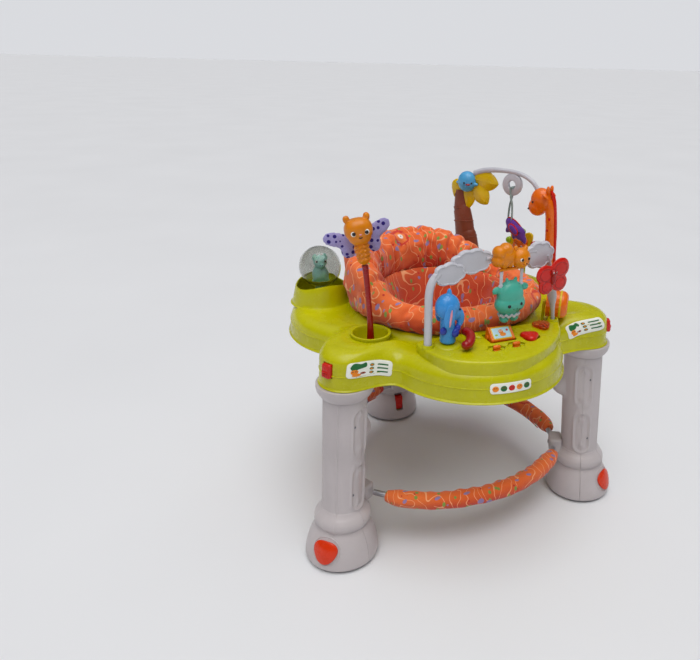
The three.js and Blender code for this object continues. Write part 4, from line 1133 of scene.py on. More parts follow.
for side, (x, y) in SLIDES.items():
    knob = moulded(0.7, 3, moved(ball(6.0, 4.0, 4.4, 20), 0, 0, 5),
                   moved(ball(3.2, 3.4, 4.0, 18), -4.5, 0, 4.6),
                   moved(ball(3.2, 3.4, 4.0, 18), 4.5, 0, 4.6), moved(rounded_box(9, 7, 7, 1.2), 0, 0, 3))
    switch = Piece(f"{side}_switch_knob", f"{side}_slide_switch", f"{side}_slide_switch",
                   slot="orange_plastic")
    switch.add(ORANGE, knob, moved(rounded_box(12, 8, 3, 0.8), 0, 0, -0.4))
    switch.add(GOLD, moved(ball(1.6, 1.6, 1.0, 12), 0, 0, 9.3)).build(50, placed_at(x, y, 449))

button = Piece("press_button", "red_button", "red_button", slot="red_plastic")
button.add(RED, plate(rounded_triangle(18.8), 13, 5.5, 7, 3.0)).build(60, placed_at(*BUTTON_AT, 446, 14))

dimples = []
for r, count in ((0, 1), (6, 6), (12, 11)):
    for k in range(count):
        a = 2 * math.pi * k / count + r
        dimples.append(moved(ball(2.7, 2.7, 1.7, 14), r * math.cos(a), r * math.sin(a), 7.4))
lens = Piece("flashing_lens", "tray", "light_lens", slot="orange_plastic")
lens.add(LENS, moulded(0.7, 2, plate(rounded_triangle(19.2), 7.6, 3.4, 6), *dimples)).build(
    60, placed_at(*LENS_AT, 452.3, 20))

bean_line = [[-5, -22, -1], [1, -14, 0], [5, -4, 1], [5, 7, 1], [0, 16, 0], [-5, 22, -1]]
bean = [tube(bean_line, [6, 8.4, 8, 8, 8.4, 6], 28, 60)]
bean += [moved(ball(8.8, 8, 8, 28), x, y, 0.4) for x, y in ((-3, -18), (5, 0), (-3, 18))]
handle = spun(moulded(0.9, 3, *bean), "X", 18)
Piece("bean_handle", "bean_rocker", "bean_rocker", slot="dark_red_plastic").add(
    DARK_RED, handle).build(60, placed_at(*BEAN_AT, 469.5, -25))


def prism_outline(radius, cut=0.16):
    p = []
    for k in range(3):
        middle = math.pi / 2 + 2 * math.pi * k / 3
        for a in np.linspace(-cut, cut, 7):
            p.append([radius * math.cos(middle + a) * (1 - 0.5 * a * a),
                      radius * math.sin(middle + a) * (1 - 0.5 * a * a)])
    p = np.array(p)
    out = []
    for i in range(len(p)):
        there = p[(i + 1) % len(p)]
        count = max(1, int(math.dist(p[i], there) / 2.0))
        out += [p[i] + (there - p[i]) * k / count for k in range(count)]
    return np.array(out)


def lying(shape):
    """Turns a plate drawn in XY so that its thickness runs along X."""
    return spun(shape, "Y", 90)


drum = Piece("picture_drum", "spin_drum", "spin_drum", slot="orange_plastic")
drum.add(ORANGE, moved(lying(plate(prism_outline(17.6), DRUM_LENGTH, 1.6, 4)), -DRUM_LENGTH / 2, 0, 0))
for side in (-1, 1):
    drum.add(ORANGE,
             moved(lying(plate(prism_outline(18.2), 4, 1.4, 4)), side * (DRUM_LENGTH / 2 - 2.2) - 2, 0, 0),
             moved(spun(pin(4, 2), "Y", 90), side * (DRUM_LENGTH / 2 + 0.5), 0, 0))
for k in range(3):
    art = [(GOLD, patch(rectangle(0, 0, 39, 25, 2), 0.2, 0.5)),
           (PICTURE_BLUE, patch(rectangle(0, 0, 35, 21, 1.5), 0.8)),
           (INK_ORANGE, dot(-1, 2.2, 1.2, 4.6, 24, 0.95)), (INK_ORANGE, dot(1.5, -3.6, 1.2, 6.2, 24, 0.6)),
           (EYE_WHITE, dot(-2.6, 3.2, 1.6, 1.3, 12)), (EYE_WHITE, dot(0.8, 3.2, 1.6, 1.3, 12)),
           (INK_BROWN, dot(-2.6, 3.2, 2.0, 0.6, 10)), (INK_BROWN, dot(0.8, 3.2, 2.0, 0.6, 10)),
           (LEAF_GREEN, dot(-12, -4, 1.2, 3.0, 18, 0.6)), (RED, dot(12, 4, 1.2, 2.2, 18))]
    for ink, shape in art:
        facing = moved(shape, 0, 0, 10.8)
        drum.add(ink, spun(facing, "X", 90 + 120 * k))
drum.build(45, lambda p: p @ turn_about("X", -50).T + np.array(DRUM))


# ---------- Front arch ----------
on_front = placed_at(8, -207, 0, 6.1)


def facing_front(shape, x=0.0, y=0.0, z=0.0):
    """Stands a plate up so that its top faces local -Y."""
    return moved(spun(shape, "X", 90), x, y, z)


def puff(half_width, half_height, bumps, phase=0.0, count=96):
    turn = full_turn(count)
    r = 1 + 0.075 * (np.abs(np.cos(bumps * (turn + phase) / 2)) ** 0.7 - 0.6) * 2
    return np.column_stack([half_width * r * np.cos(turn), half_height * r * np.sin(turn)])


arch = Piece("cloud_arch_rail", "tray", "cloud_arch", slot="white_plastic")
arch.add(WHITE,
         tube([[-140, 0, 452.3], [-140, 0, 480], [-140, 0, 520], [-139.5, 0, 550], [-134, 0, 570],
               [-121, 0, 584]],
              [7, 7, 7, 7, 6.8, 6.5], 32, 70))
arch.add(WHITE,
         tube([[140, 0, 452.3], [138, 0, 468], [135, 0, 484], [131, 0, 505], [127, 0, 525], [124, 0, 544],
               [117, 0, 566], [108, 0, 588]],
              [4.5, 4.5, 6.5, 11.5, 9.5, 7, 6.5, 6], 32, 90, flat=0.62))
arch.add(WHITE, moved(spun(pin(4.5, 55, 28), "Y", 90), 26, 0, 598))
for x, z, w, h, bumps, y, phase in ((-102, 580, 31, 20, 7, -1.5, 0.3), (-56, 595, 42, 22, 9, 1.5, 0.1),
                                    (89, 590, 33, 25, 8, 0, 0.5)):
    outline = puff(w, h, bumps, phase)
    arch.add(WHITE, facing_front(plate(outline, 7.5, 3, 5), x, y + 3.75, z))
    rim_line = np.column_stack([outline * [(w - 3.2) / w, (h - 3.2) / h], np.zeros(len(outline))])
    for level in (7.2, 0.3):
        arch.add(WHITE,
                 facing_front(moved(tube(rim_line, 1.7, 10, 150, closed=True), 0, 0, level), x, y + 3.75,
                              z))
arch.build(50, on_front)

BEE = (16, -10, 598)
bee_parts = [ball(22, 15, 17, 32), moved(ball(12, 14, 12, 24), -15, 0, 8),
             moved(ball(12, 14, 12, 24), -1, 0, 12), moved(ball(11, 13, 11, 24), -17, 0, -7),
             moved(ball(9, 13, 12, 24), -6, -1, -10), moved(ball(9, 13, 12, 24), 6, -1, -9)]
bee_body = moulded(1.2, 3, *[moved(s, -8, 0, 2) for s in bee_parts])
bee_head = moulded(1.1, 3, moved(ball(18.5, 17, 18.5, 34), 19, -6, -3),
                   moved(ball(4.6, 4, 5.4, 18), 8, -5, 15), moved(ball(4.6, 4, 5.4, 18), 30, -5, 13))
bee = Piece("flying_bee", "tray", "bee", slot="orange_plastic").add(AMBER, bee_body, bee_head)
bee.add(AMBER, moved(ball(4.2, 3, 3.2, 18), 19, -22.4, -9))
bee.add(BLACK, moved(ball(1.6, 1.1, 1.2, 14), 19, -25.4, -8.2))
eyes(bee, [(12.4, -21.3, -2), (26.0, -21.0, -1)], 2.6, (0.05, -1, 0.05), white=3.6)
bee.add(AMBER, moved(rounded_box(54, 7, 4.4, 1.8), 2, -6, -20))
bee.build(60, lambda p: on_front(p + np.array(BEE)))

DEER = (18, -17, 574.5)
deer_skull = [moved(ball(26.5, 17.5, 28, 36, 0.92), 0, 0, -46),
              moved(ball(31, 18.4, 18.5, 36, 0.92), 0, -1, -61)]
deer_skull += [moved(spun(ball(3.4, 3.2, 6.5, 16), "Y", s * 10), s * 9, 0, -18) for s in (-1, 1)]
deer_skull += [moved(spun(ball(9.5, 4.4, 7, 20), "Y", s * 14), s * 30, 0, -33) for s in (-1, 1)]
deer_skull += [moved(ball(6, 4.6, 3.6, 20), s * 24, 0, -34) for s in (-1, 1)]
deer = Piece("swinging_deer", "swing_deer", "swing_deer", slot="teal_plastic")
deer.add(TEAL, moulded(1.3, 4, *deer_skull))
feet = [moved(ball(9, 10, 8.6, 24), s * 10.5, -1, -88)
        for s in (-1, 1)] + [moved(ball(15, 9, 8, 24), 0, 1, -81)]
deer.add(TEAL, moulded(1.2, 3, *feet))
frill = lathe([[0.1, -2.6], [19, -2.6], [22, -1.4], [22.6, 0], [22, 1.4], [19, 2.6], [0.1, 2.6]], 96)
waves = np.arctan2(frill[0][:, 1], frill[0][:, 0])
far = np.hypot(frill[0][:, 0], frill[0][:, 1]) / 22
scallop = 1 + 0.05 * np.cos(11 * waves)
lace = np.column_stack([frill[0][:, 0] * scallop, frill[0][:, 1] * 0.66 * scallop,
                        frill[0][:, 2] + 2.2 * far * np.cos(11 * waves) - 4 * far])
deer.add(TEAL, moved((lace * [0.92, 0.92, 1], frill[1]), 0, -0.5, -72.5))
deer.add(WHITE, moved((lace, frill[1]), 0, -0.5, -77.5))
for side in (-1, 1):
    deer.add(WHITE, moved(rounded_box(6.6, 2.4, 31, 1.1), side * 22, 0, -14.5),
             moved(spun(lathe([[0.1, -1.9], [4.4, -1.9], [4.9, -1.2], [4.9, 1.2], [4.4, 1.9], [0.1, 1.9]],
                              24),
                        "X", 90),
                   side * 22, 0, -27))
eyes(deer, [(-12.5, -18.6, -60), (13.5, -18.2, -58.5)], 3.3, (0, -1, 0.05))
deer.add(BLACK, moved(ball(0.9, 0.6, 0.9, 10), -4, -19.9, -66),
         moved(ball(0.9, 0.6, 0.9, 10), 3.5, -19.9, -65.5),
         tube([[2, -19.4, -70.5], [7, -19.0, -70.5], [12, -17.6, -67.5]], 0.55, 8, 20))
deer.build(60, lambda p: on_front(p + np.array(DEER)))

FLY = (104, -26, 553)
lobes = [(-16, 6, 21, 18, 10), (16, 14, 22, 20, -20), (17, -12, 19, 17, 20), (-12, -16, 17, 16, 0)]
wings = [moved(spun(ball(w, 4.4, h, 28, 0.9), "Y", turn), x, 0, z) for x, z, w, h, turn in lobes]
fly = Piece("spinning_butterfly", "butterfly", "butterfly", slot="red_plastic")
fly.add(RED, moulded(1.2, 3, *wings))
fly.add(DARK_RED,
        moulded(1.0, 3, moved(ball(5.5, 6, 13, 24), 0, -2.5, -2),
                moved(ball(6.8, 6.4, 6.8, 24), -1, -4, 9)))
for x, z, w, h, turn in lobes:
    fly.add(DARK_RED, moved(tube([[0.62 * w * math.cos(a), 0, 0.62 * h * math.sin(a)] for a in
                                  full_turn(14)], 0.8, 8, 40, closed=True), x * 1.04, -3.4, z * 1.04))
eyes(fly, [(-3.4, -9.2, 10.4), (1.8, -9.4, 10.4)], 1.2, (0, -1, 0), white=1.9)
fly.add(RED, moved(spun(pin(3, 7, 20), "X", 90), 0, 9, 0))
fly.build(60, lambda p: on_front(p + np.array(FLY)))

# The switch elephant looks to the right, along the arch.
trunk_line = [[15, -5, 60], [20, -6, 52], [21, -6, 43], [19, -6, 36], [15, -6, 31]]
skull = [moved(ball(22.5, 19, 24, 36), -3, -1, 68), moved(ball(15, 14, 15, 28), 8, -2, 57),
         moved(ball(4.5, 4.5, 9, 18), 0, 0, 92)]
skull += [tube(trunk_line, [8, 7, 6, 5.2, 4.6], 24, 40)]
torso = [tube([[0, 0, 4], [0, 0, 14], [-1, 0, 32], [-2, 0, 50]], [14.5, 14, 13.5, 13], 36, 40),
         moved(ball(14.5, 14.5, 6, 28), 0, 0, 5)]
calf = Piece("blue_elephant", "switch_elephant", "switch_elephant", slot="blue_plastic")
calf.add(BLUE, moulded(1.2, 4, *skull), moulded(1.3, 3, *torso))
ear = moulded(1.1, 3, spun(ball(11, 3.2, 22, 28, 0.92), "Y", 6))
calf.add(BLUE, moved(ear, -6, -18.5, 56), moved(ear, -6, 18, 56))
calf.add(PINK, moved(spun(ball(2.2, 1.6, 16, 18), "Y", 6), -5.5, -22, 54))
calf.add(NAVY,
         moulded(1.0, 3, moved(ball(7.5, 5.5, 8.5, 20), 8, -12.5, 22),
                 moved(ball(5.5, 5, 6, 20), 13, -11.5, 31)),
         moved(ball(6.5, 5, 7.5, 20), -13, -9, 27))
for k in range(3):
    calf.add(BLUE, moved(ball(5.2, 6.4, 4.6, 20), 20.5 - k * 0.6, -5, 57 - 8.5 * k))
eyes(calf, [(15.6, -14.6, 66)], 2.1, (0.6, -0.8, 0.1))
calf.build(60, placed_at(*ELEPHANT_AT, 456.3))

barrel_line = [[0.1, -16], [19, -16], [20, -19], [26, -19], [27, -15.5], [26.6, -12], [27.2, -8],
               [26.4, -4], [27.2, 0], [26.4, 4], [27.2, 8], [26.4, 12], [24, 15.5], [20, 18.6],
               [18.4, 18.8], [17.6, 16.4], [0.1, 16.4]]
keg = Piece("rattle_barrel", "spin_barrel", "spin_barrel", slot="amber_plastic")
keg.add(ORANGE, lying(lathe(barrel_line, 72)))
keg.add(GOLD, lying(lathe([[0.1, 15.6], [17.4, 15.6], [17.4, 17.6], [16, 18.4], [6, 18.8], [0.1, 18.8]], 64)),
        lying(lathe([[26.2, -11.6], [27.8, -11], [28.2, -9.4], [27.8, -8], [26.2, -7.4]], 72, closed=True)),
        lying(lathe([[26.2, 3.6], [27.6, 4.4], [28, 6], [27.6, 7.6], [26.2, 8.4]], 72, closed=True)))
keg.build(40, lambda p: placed_at(*BARREL, -38)(p * [1.1, 1, 1]))


# ---------- Globe and dragonfly ----------
turn = np.linspace(math.asin(15 / GLOBE_RADIUS), math.pi - 0.01, 34)
shell_line = np.vstack([
    np.column_stack([GLOBE_RADIUS * np.sin(turn), -GLOBE_RADIUS * np.cos(turn)]),
    np.column_stack([(GLOBE_RADIUS - 2.2) * np.sin(turn[::-1]), -(GLOBE_RADIUS - 2.2) * np.cos(turn[::-1])]),
])
at_globe = placed_at(globe_x, globe_y, GLOBE_HEIGHT, 0)
bowl_turn = np.linspace(math.asin(15 / 40.5), 0.95, 16)
bowl = np.vstack([np.column_stack([40.6 * np.sin(bowl_turn), -40.6 * np.cos(bowl_turn)]),
                  np.column_stack([39.0 * np.sin(bowl_turn[::-1]), -39.0 * np.cos(bowl_turn[::-1])])])
Piece("clear_globe", "globe", "globe_dome", slot="smoke_glass").add(
    SMOKE, lathe(shell_line, 96, closed=True)).build(60, at_globe)
Piece("globe_inner_bowl", "globe").add(LIME, lathe(bowl, 80, closed=True)).build(60, at_globe)

reptile = [moved(ball(14, 14, 18, 28), 0, 0, -16), moved(ball(12.5, 11.5, 10.5, 28), 3, 0, 8),
           moved(ball(8, 7, 6, 24), 10, 0, 4)]
reptile += [moved(spun(ball(3, 3.4, 6, 16), "X", s * 28), 2, s * 9, 16) for s in (-1, 1)]
reptile += [moved(ball(4, 4, 6.5, 16), 7, s * 9, -22) for s in (-1, 1)]
reptile += [tube([[-8, 0, -26], [-17, 2, -22], [-21, 4, -10], [-17, 5, 0]], [5.5, 4.4, 3.2, 1.8], 16, 30)]
reptile += [moved(ball(2, 1.6, 3, 12), -11 + 2 * k, 0, -14 + 7.5 * k) for k in range(5)]
lizard = Piece("spinning_lizard", "globe", "lizard", slot="teal_plastic")
lizard.add(PALE_TEAL, moulded(1.1, 3, *[(s[0] * 1.25 + [0, 0, 2], s[1]) for s in reptile]),
           lathe([[7.4, -57], [12.6, -57], [12.6, -37], [18, -33], [18.6, -30.5], [14, -28.5], [0.1, -28],
                  [0.1, -39], [7.4, -40]],
                 48))
eyes(lizard, [(14.4, -8.2, 15), (14.4, 8.2, 15)], 2.4, (1, 0, 0.2), white=3.6)
lizard.add(NAVY, moved(ball(1.1, 1.1, 1.1, 10), 22, -2.5, 8.2), moved(ball(1.1, 1.1, 1.1, 10), 22, 2.5, 8.2))
lizard.build(60, placed_at(globe_x, globe_y, GLOBE_HEIGHT, -95))

STEM_SHIFT = (-6.4, 3.0, 0)
stem = Piece("bending_stem", "dragonfly_stem", "dragonfly_stem", slot="dark_red_plastic")
stem_line = smooth_line([[0.1, 407.6], [2, 407.8], [9, 410.5], [11.5, 413], [10.5, 416], [8.4, 421],
                         [7, 436], [5.8, 460], [5.0, 500], [5.2, 560], [5.8, 572], [5.4, 575.6],
                         [0.1, 576]],
                        100)
stalk = lathe(stem_line, 40)
lean_share = np.clip((stalk[0][:, 2] - 450) / 126, 0, 1) ** 1.5
stalk = stalk[0] + lean_share[:, None] * STEM_SHIFT, stalk[1]
stem.add(DARK_RED, stalk).build(50, placed_at(cup_x, cup_y, 0))

RIDER_TILT = turn_about("Z", -100) @ turn_about("X", 9)


def at_rider(points):
    return points @ RIDER_TILT.T + np.array([cup_x + STEM_SHIFT[0], cup_y + STEM_SHIFT[1], 576.7])


rider_head = [moved(ball(20, 25, 20, 36, 0.85), 0, 0, 64), moved(ball(18, 21, 18, 32, 0.9), 1, 0, 55)]
rider_head += [moved(ball(5.2, 6.2, 7, 20), 0, s * 17.5, 84) for s in (-1, 1)]
rider_body = [tube([[0, 0, 1.5], [0, 0, 6], [0, 0, 16], [0, 0, 30], [0, 0, 44]], [5, 9.5, 12, 13, 12], 32,
                   40)]
beads = [moved(ball(3.0, 3.6, 2.6, 14), 12.6 * math.cos(a) * w, 12.6 * math.sin(a) * w, z)
         for z, w in ((12, 0.92), (20, 0.98), (28, 1.03), (36, 1.02)) for a in np.radians([-52, -17, 17, 52])]
rider = Piece("dragonfly_figure", "dragonfly", "dragonfly_body", slot="amber_plastic")
rider.add(AMBER, moulded(1.2, 4, *rider_head), moulded(1.0, 1, *rider_body, *beads))
rider.add(AMBER, moved(rounded_box(16, 12, 12, 3), -19, 0, 38))
eyes(rider, [(18.2, -10.5, 62), (18.2, 11.5, 62)], 3.4, (1, 0, 0.05), white=5.4)
rider.add(PINK, moved(ball(1.6, 2.2, 1.4, 14), 19.6, 0.5, 59.5))
rider.add(BLACK, tube([[18.6, -3, 54.5], [19.4, 0, 53.2], [18.6, 3, 54.5]], 0.9, 8, 16))
rider.build(60, at_rider)

wing_parts = []
for side in (-1, 1):
    for y, z, w, h, lean_out in ((36, 10, 27, 14, 24), (24, -13, 13, 15, -22)):
        wing_parts.append(moved(spun(ball(3.6, w, h, 30, 0.92), "X", side * lean_out), 0, side * y, z))
wing_parts.append(ball(3.6, 15, 10, 24))
wing_skin = subdivided(inflated(spun(moulded(1.4, 4, *wing_parts), "X", 5), 3.0, 1.2, 2.0))
wing_skin = raised(wing_skin, 0.5 * roughness_of(wing_skin[0], 9, 2))
felt = Piece("dragonfly_plush_wings", "dragonfly", "dragonfly_wings", slot="lavender_fabric")
felt.add(LILAC, moved(wing_skin, -28, 0, 37.5))
felt.build(180, at_rider)


# ---------- Rear arch ----------
REAR, HOOK = 260, 650
on_rear = placed_at(0, 0, 0, 30)
TRUNK_ROWS = ((110, 431.3, 36), (111, 445, 35), (115, 480, 32), (121, 512, 29), (123, 516, 26.6),
              (128, 545, 25), (135, 574, 22.6), (137, 579, 20), (138, 595, 18.5), (140, 622, 15))
palm = Piece("palm_tree_trunk", "tray", "palm_trunk", slot="brown_plastic")


def flattened(shape):
    return (shape[0] - [REAR, 0, 0]) * [0.68, 1, 1] + [REAR, 0, 0], shape[1]


trunk_line = np.array([[REAR, y, z] for y, z, r in TRUNK_ROWS])
palm.add(BROWN, flattened(tube(trunk_line, [r for y, z, r in TRUNK_ROWS], 48, 130)))
for k, (y, z) in enumerate(((114, 474), (121, 513), (129, 548), (136, 577))):
    r = float(np.interp(z, trunk_line[:, 2], [row[2] for row in TRUNK_ROWS]))
    ring = [[REAR + r * math.cos(a), y + r * math.sin(a), z + 3.2 * math.cos(a + k)] for a in full_turn(24)]
    palm.add(BROWN, flattened(tube(ring, 1.6, 10, 80, closed=True)))
for y, z, a in ((118, 498, 200), (126, 532, 250), (112, 460, 170), (133, 562, 215)):
    r = float(np.interp(z, trunk_line[:, 2], [row[2] for row in TRUNK_ROWS]))
    knot = REAR + r * math.cos(math.radians(a)), y + r * math.sin(math.radians(a)), z
    palm.add(BROWN, flattened(moved(ball(2.2, 1.8, 1.8, 12), *knot)))
palm.build(40, on_rear)


def palm_leaf(length, angle, y, z, wide=23, thick=6.5):
    """A pointed leaf with a raised middle fold, long along its own Y, tilted by angle."""
    along = np.linspace(-1, 1, 40)
    half = wide * np.maximum(1 - np.abs(along) ** 1.7, 0) ** 0.75 * (1 - 0.18 * along)
    rows = []
    for t, w in zip(along, np.maximum(half, 0.4)):
        a = full_turn(24)
        fold = 1 + 0.35 * (np.abs(np.cos(a)) ** 3 - 0.4)
        rows.append(np.column_stack([thick * (w / wide) ** 0.5 * np.cos(a) * fold, np.full(24, t * length),
                                     w * np.sin(a)]))
    shape = grid(np.array(rows), False, True, caps=True)
    return moved(spun(shape, "X", angle), REAR, y, z)


crown = Piece("palm_leaves", "tray", "palm_crown", slot="yellow_plastic")
for length, angle, y, z in ((37, 6, 74, 650), (34, 47, 86, 622), (33, 82, 122, 612), (25, -62, 147, 624)):
    crown.add(GOLD, palm_leaf(length, angle, y, z))
    crease = [[REAR - 6.6 - 0.4 * (1 - abs(t)), y + t * length * 0.8 * math.cos(math.radians(angle)),
               z + t * length * 0.8 * math.sin(math.radians(angle))] for t in np.linspace(-1, 1, 9)]
    crown.add(GOLD, tube(crease, 1.1, 8, 40))
bird = [moved(ball(20, 23, 24, 36), REAR - 8, 119, 644), moved(ball(5, 8, 4, 20), REAR - 8, 142, 640),
        moved(ball(5, 8, 4, 20), REAR - 8, 96, 640)]
crown.add(SKY, moulded(1.2, 3, *bird))
look = np.array([math.cos(math.radians(-115 - 30)), math.sin(math.radians(-115 - 30)), -0.05])
across = np.array([-look[1], look[0], 0])
centre = np.array([REAR - 8, 119, 644])
for side in (-1, 1):
    spot = look + side * 0.44 * across + [0, 0, 0.02]
    spot /= np.linalg.norm(spot)
    crown.add(BLACK, moved(ball(2.3, 2.3, 2.3, 14), *(centre + spot * [20, 22.4, 23.4])))
spot = look + [0, 0, -0.12]
spot /= np.linalg.norm(spot)
crown.add(DARK_RED, moved(spun(ball(3, 5.6, 2.2, 18), "Z", -145), *(centre + spot * [20.5, 23, 23.5])))
crown.build(45, on_rear)

rail = [[REAR, 104, 664], [REAR, 70, 675], [REAR, 22, 679], [REAR, -20, 676], [REAR, -52, 662],
        [REAR, -70, 640]]
loop = lathe([[9.4, -4], [10.4, -5], [22.5, -5], [24.4, -3.8], [25, -2], [25, 2], [24.4, 3.8], [22.5, 5],
              [10.4, 5], [9.4, 4], [9, 2], [9, -2]],
             64, closed=True)
Piece("hanging_rail", "tray", "rear_arch_tube", slot="white_plastic").add(
    WHITE, tube(rail, [6.5, 6.2, 5.4, 5, 5, 5], 32, 110),
    moved(lying(loop), REAR, 0, HOOK + 1)).build(45, on_rear)

neck = [[REAR, -111, 431.3], [REAR, -111, 440], [REAR, -111, 456], [REAR, -111, 472], [REAR, -108, 540],
        [REAR, -101, 606], [REAR, -93, 628]]
giraffe = Piece("giraffe_neck", "tray", "giraffe_post", slot="orange_plastic")
giraffe.add(ORANGE, tube(neck, [20.5, 20, 16, 13, 11.5, 11.5, 12], 40, 110))
giraffe_head = [moved(spun(ball(21, 25, 27, 36), "X", -20), REAR, -77, 627),
                moved(ball(19, 22, 21, 36), REAR, -69, 612)]
giraffe_head += [moved(ball(4.5, 4.5, 9, 18), REAR + s * 9, -95, 652) for s in (-1, 1)]
giraffe.add(ORANGE, moulded(1.3, 4, *giraffe_head))
giraffe_ears = [moved(spun(ball(5, 8.5, 3.4, 18), "X", 35), REAR + s * 19, -94, 640) for s in (-1, 1)]
giraffe.add(ORANGE, *giraffe_ears)
mane = [[REAR, -99, 650], [REAR, -107, 632], [REAR, -112.5, 606], [REAR, -118.5, 560], [REAR, -122, 510],
        [REAR, -125, 470], [REAR, -129, 452]]
giraffe.add(RED, tube(mane, [3.2, 4.4, 4.2, 3.8, 3.6, 3.4, 2.2], 18, 80))
for spot in ((REAR - 20, -65, 624), (REAR + 20, -65, 624), (REAR - 13, -52.5, 607), (REAR + 13, -52.5, 607)):
    giraffe.add(BLACK, moved(ball(2.2, 2.2, 2.2, 14), *spot))
for y, z, s in ((-99, 590, 4), (-97.5, 565, 3.4), (-98.5, 520, 4)):
    for way in (-1, 1):
        giraffe.add(RED, moved(ball(1.6, s * 0.8, s, 16), REAR + way * 10.4, y - 6, z))
giraffe.build(45, on_rear)

calf_parts = [moved(spun(ball(9.5, 33, 15, 30), "X", 42), 0, -16, -99),
              moved(spun(ball(9, 17, 14, 26), "X", 30), 0, -27, -104),
              moved(spun(ball(6, 16, 7, 20), "X", 62), 0, -38, -116)]
calf_parts += [moved(ball(6, 5, 8, 18), 0, y, z) for y, z in ((-14, -116), (4, -104))]
calf_skin = subdivided(inflated(moulded(1.6, 4, *calf_parts), 3.4, 1.4, 2.0))
calf_skin = raised(calf_skin, 0.7 * roughness_of(calf_skin[0], 8, 4))
swing = Piece("hanging_plush_elephant", "hanging_elephant", "hanging_elephant", slot="purple_fabric")
swing.add(VIOLET, calf_skin)
for side in (-1, 1):
    swing.add(RED_FELT, moved(spun(ball(2.4, 17, 9, 26, 0.9), "X", 42), side * 9.6, -16, -98))
    swing.add(VIOLET, moved(spun(ball(2.6, 13.5, 6.4, 24, 0.9), "X", 42), side * 11.2, -16.5, -98))
    swing.add(STRIPED,
              tube([[side * 7.6, 0, -3.6], [side * 7.6, 0, -12], [side * 6.6, side * 2, -27],
                    [side * 3.0, side * 5, -48], [side * 1.8, side * 6, -82]],
                   4.4, 16, 70, flat=0.28))
swing.add(STRIPED, moved(rounded_box(16, 7.6, 3.6, 1.4), 0, 0, -5.5))
eyes(swing, [(-9.6, -32, -103), (9.6, -32, -103)], 2.0, (0, -0.4, 0.1))
seam_ring = [[0, -16 + 33 * math.cos(a) * 0.743 - 15.5 * math.sin(a) * 0.669,
              -99 + 33 * math.cos(a) * 0.669 + 15.5 * math.sin(a) * 0.743] for a in np.linspace(0.3, 2.8, 18)]
swing.add(RED_FELT, tube(seam_ring, 2.2, 10, 50, flat=0.6))
swing.build(180, lambda p: on_rear(p + np.array([REAR, 0, HOOK])))

star_turn = full_turn(120)
star_reach = 37 + 7 * np.cos(5 * star_turn)
star_line = np.column_stack([star_reach * np.cos(star_turn), star_reach * np.sin(star_turn)])
star = Piece("spinning_tiger", "tiger_toy", "tiger_toy", slot="yellow_plastic")
hub_cut = moved(lying(pin(4.4, 9)), 9, 0, 0)
star.add(GOLD, carved(moved(lying(plate(star_line, 8, 3, 5, 0.8)), -4, 0, 0), hub_cut))
star.add(ORANGE,
         moulded(1.2, 3, moved(ball(9, 21, 20, 32), -6, 0, 0), moved(ball(6, 5, 6, 18), -5, -15, 15),
                 moved(ball(6, 5, 6, 18), -5, 15, 15)))
for k in range(5):
    a = 2 * math.pi * k / 5
    for side in (-1, 1):
        star.add(RED if k % 2 else LEAF_GREEN,
                 moved(ball(3.4, 7.5, 7.5, 20), side * 3.6 - 0.4, -36 * math.sin(a), 36 * math.cos(a)))
eyes(star, [(-14, -7, 3), (-14, 7, 3)], 2.2, (-1, 0, 0), white=3.6)
star.add(BLACK, moved(ball(1.4, 2.4, 1.6, 14), -15, 0, -3))
star.add(EYE_WHITE, moved(ball(2.6, 7, 4.6, 20), -12.6, 0, -7))
for side in (-1, 1):
    for z in (9, 13):
        star.add(BROWN,
                 tube([[-13.2 + (z - 9) * 0.4, side * 4, z], [-11.6 + (z - 9) * 0.4, side * 11, z + 2]],
                      1.0, 8, 12))
star.build(50, lambda p: on_rear(p + np.array([304, -12, 500])))


# ---------- Latches ----------
for side, angle in LEGS.items():
    sloped = rounded_box(16, 19.4, 25.4, 2.6)
    taper = np.clip(sloped[0][:, 2] + 2, 0, 20) * 0.22
    sloped = sloped[0] - np.column_stack([taper, np.zeros((len(taper), 2))]), sloped[1]
    grips = [moved(rounded_box(2, 13, 1.6, 0.7), 7.6, 0, z) for z in (-8, -4.5, -1)]
    Piece(f"{side}_release_latch", f"{side}_latch", f"{side}_latch", slot="red_plastic").add(
        RED, sloped, *grips).build(40, placed_at(*polar(345.5, angle, 413), angle))


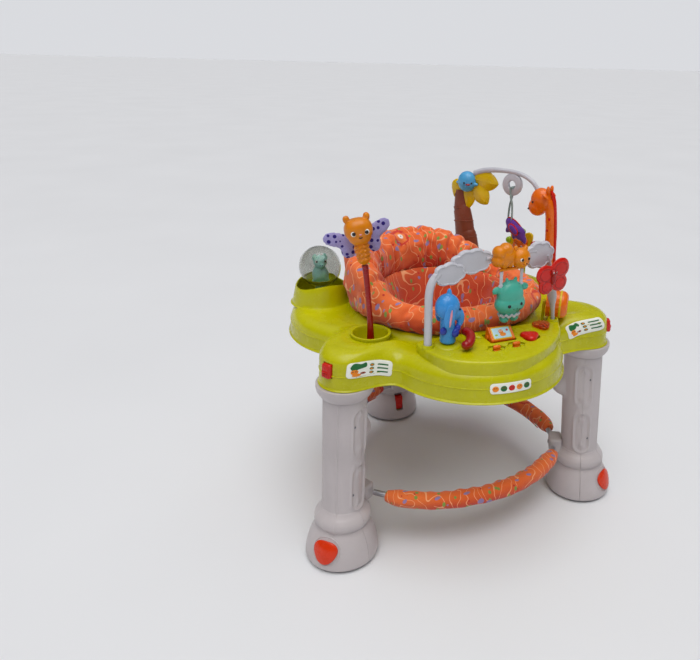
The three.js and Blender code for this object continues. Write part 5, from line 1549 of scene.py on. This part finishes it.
# ---------- Floor and soft light ----------
floor_mesh = bpy.data.meshes.new("floor")
floor_mesh.from_pydata([(-60, -60, 0), (60, -60, 0), (60, 60, 0), (-60, 60, 0)], [], [(0, 1, 2, 3)])
floor = bpy.data.objects.new("floor", floor_mesh)
bpy.context.scene.collection.objects.link(floor)
paint = Graph("floor_paint")
paint.set(Base_Color=paint.mix(paint.noise(1.5, 2), colour(0xDDDEE1), colour(0xE4E5E8)), Roughness=0.7,
          Specular_IOR_Level=0.2)
floor_mesh.materials.append(paint.material)

world = bpy.data.worlds.new("studio")
world.use_nodes = True
sky = world.node_tree.nodes
where = sky.new("ShaderNodeTexCoord")
parts = sky.new("ShaderNodeSeparateXYZ")
shades = sky.new("ShaderNodeValToRGB")
world.node_tree.links.new(where.outputs["Generated"], parts.inputs[0])
world.node_tree.links.new(parts.outputs[2], shades.inputs[0])
world.node_tree.links.new(shades.outputs[0], sky["Background"].inputs[0])
ramp = shades.color_ramp.elements
ramp[0].position, ramp[0].color = 0.10, (0.70, 0.71, 0.74, 1)
ramp[1].position, ramp[1].color = 1.0, (0.9, 0.91, 0.93, 1)
for position, level in ((0.14, 0.07), (0.5, 0.12), (0.8, 0.55)):
    ramp.new(position).color = (level, level, 1.03 * level, 1)
sky["Background"].inputs[1].default_value = 1.0
bpy.context.scene.world = world
bpy.context.scene.view_settings.view_transform = "Standard"


def softbox(name, spot, aim, size, power, tint=(1, 1, 1)):
    data = bpy.data.lights.new(name, "AREA")
    data.energy, data.size, data.color = power, size, tint
    lamp = bpy.data.objects.new(name, data)
    lamp.location = spot
    lamp.rotation_euler = (Vector(aim) - Vector(spot)).to_track_quat("-Z", "Y").to_euler()
    bpy.context.scene.collection.objects.link(lamp)


softbox("key", (-1.6, -1.9, 2.4), (0, 0, 0.3), 1.5, 7, (1.0, 0.98, 0.95))
sun = bpy.data.objects.new("overhead", bpy.data.lights.new("overhead", "SUN"))
sun.data.energy, sun.data.angle, sun.data.color = 1.65, 0.9, (1.0, 0.99, 0.97)
sun.rotation_euler = (Vector((0.1, 0.25, -1))).to_track_quat("-Z", "Y").to_euler()
bpy.context.scene.collection.objects.link(sun)
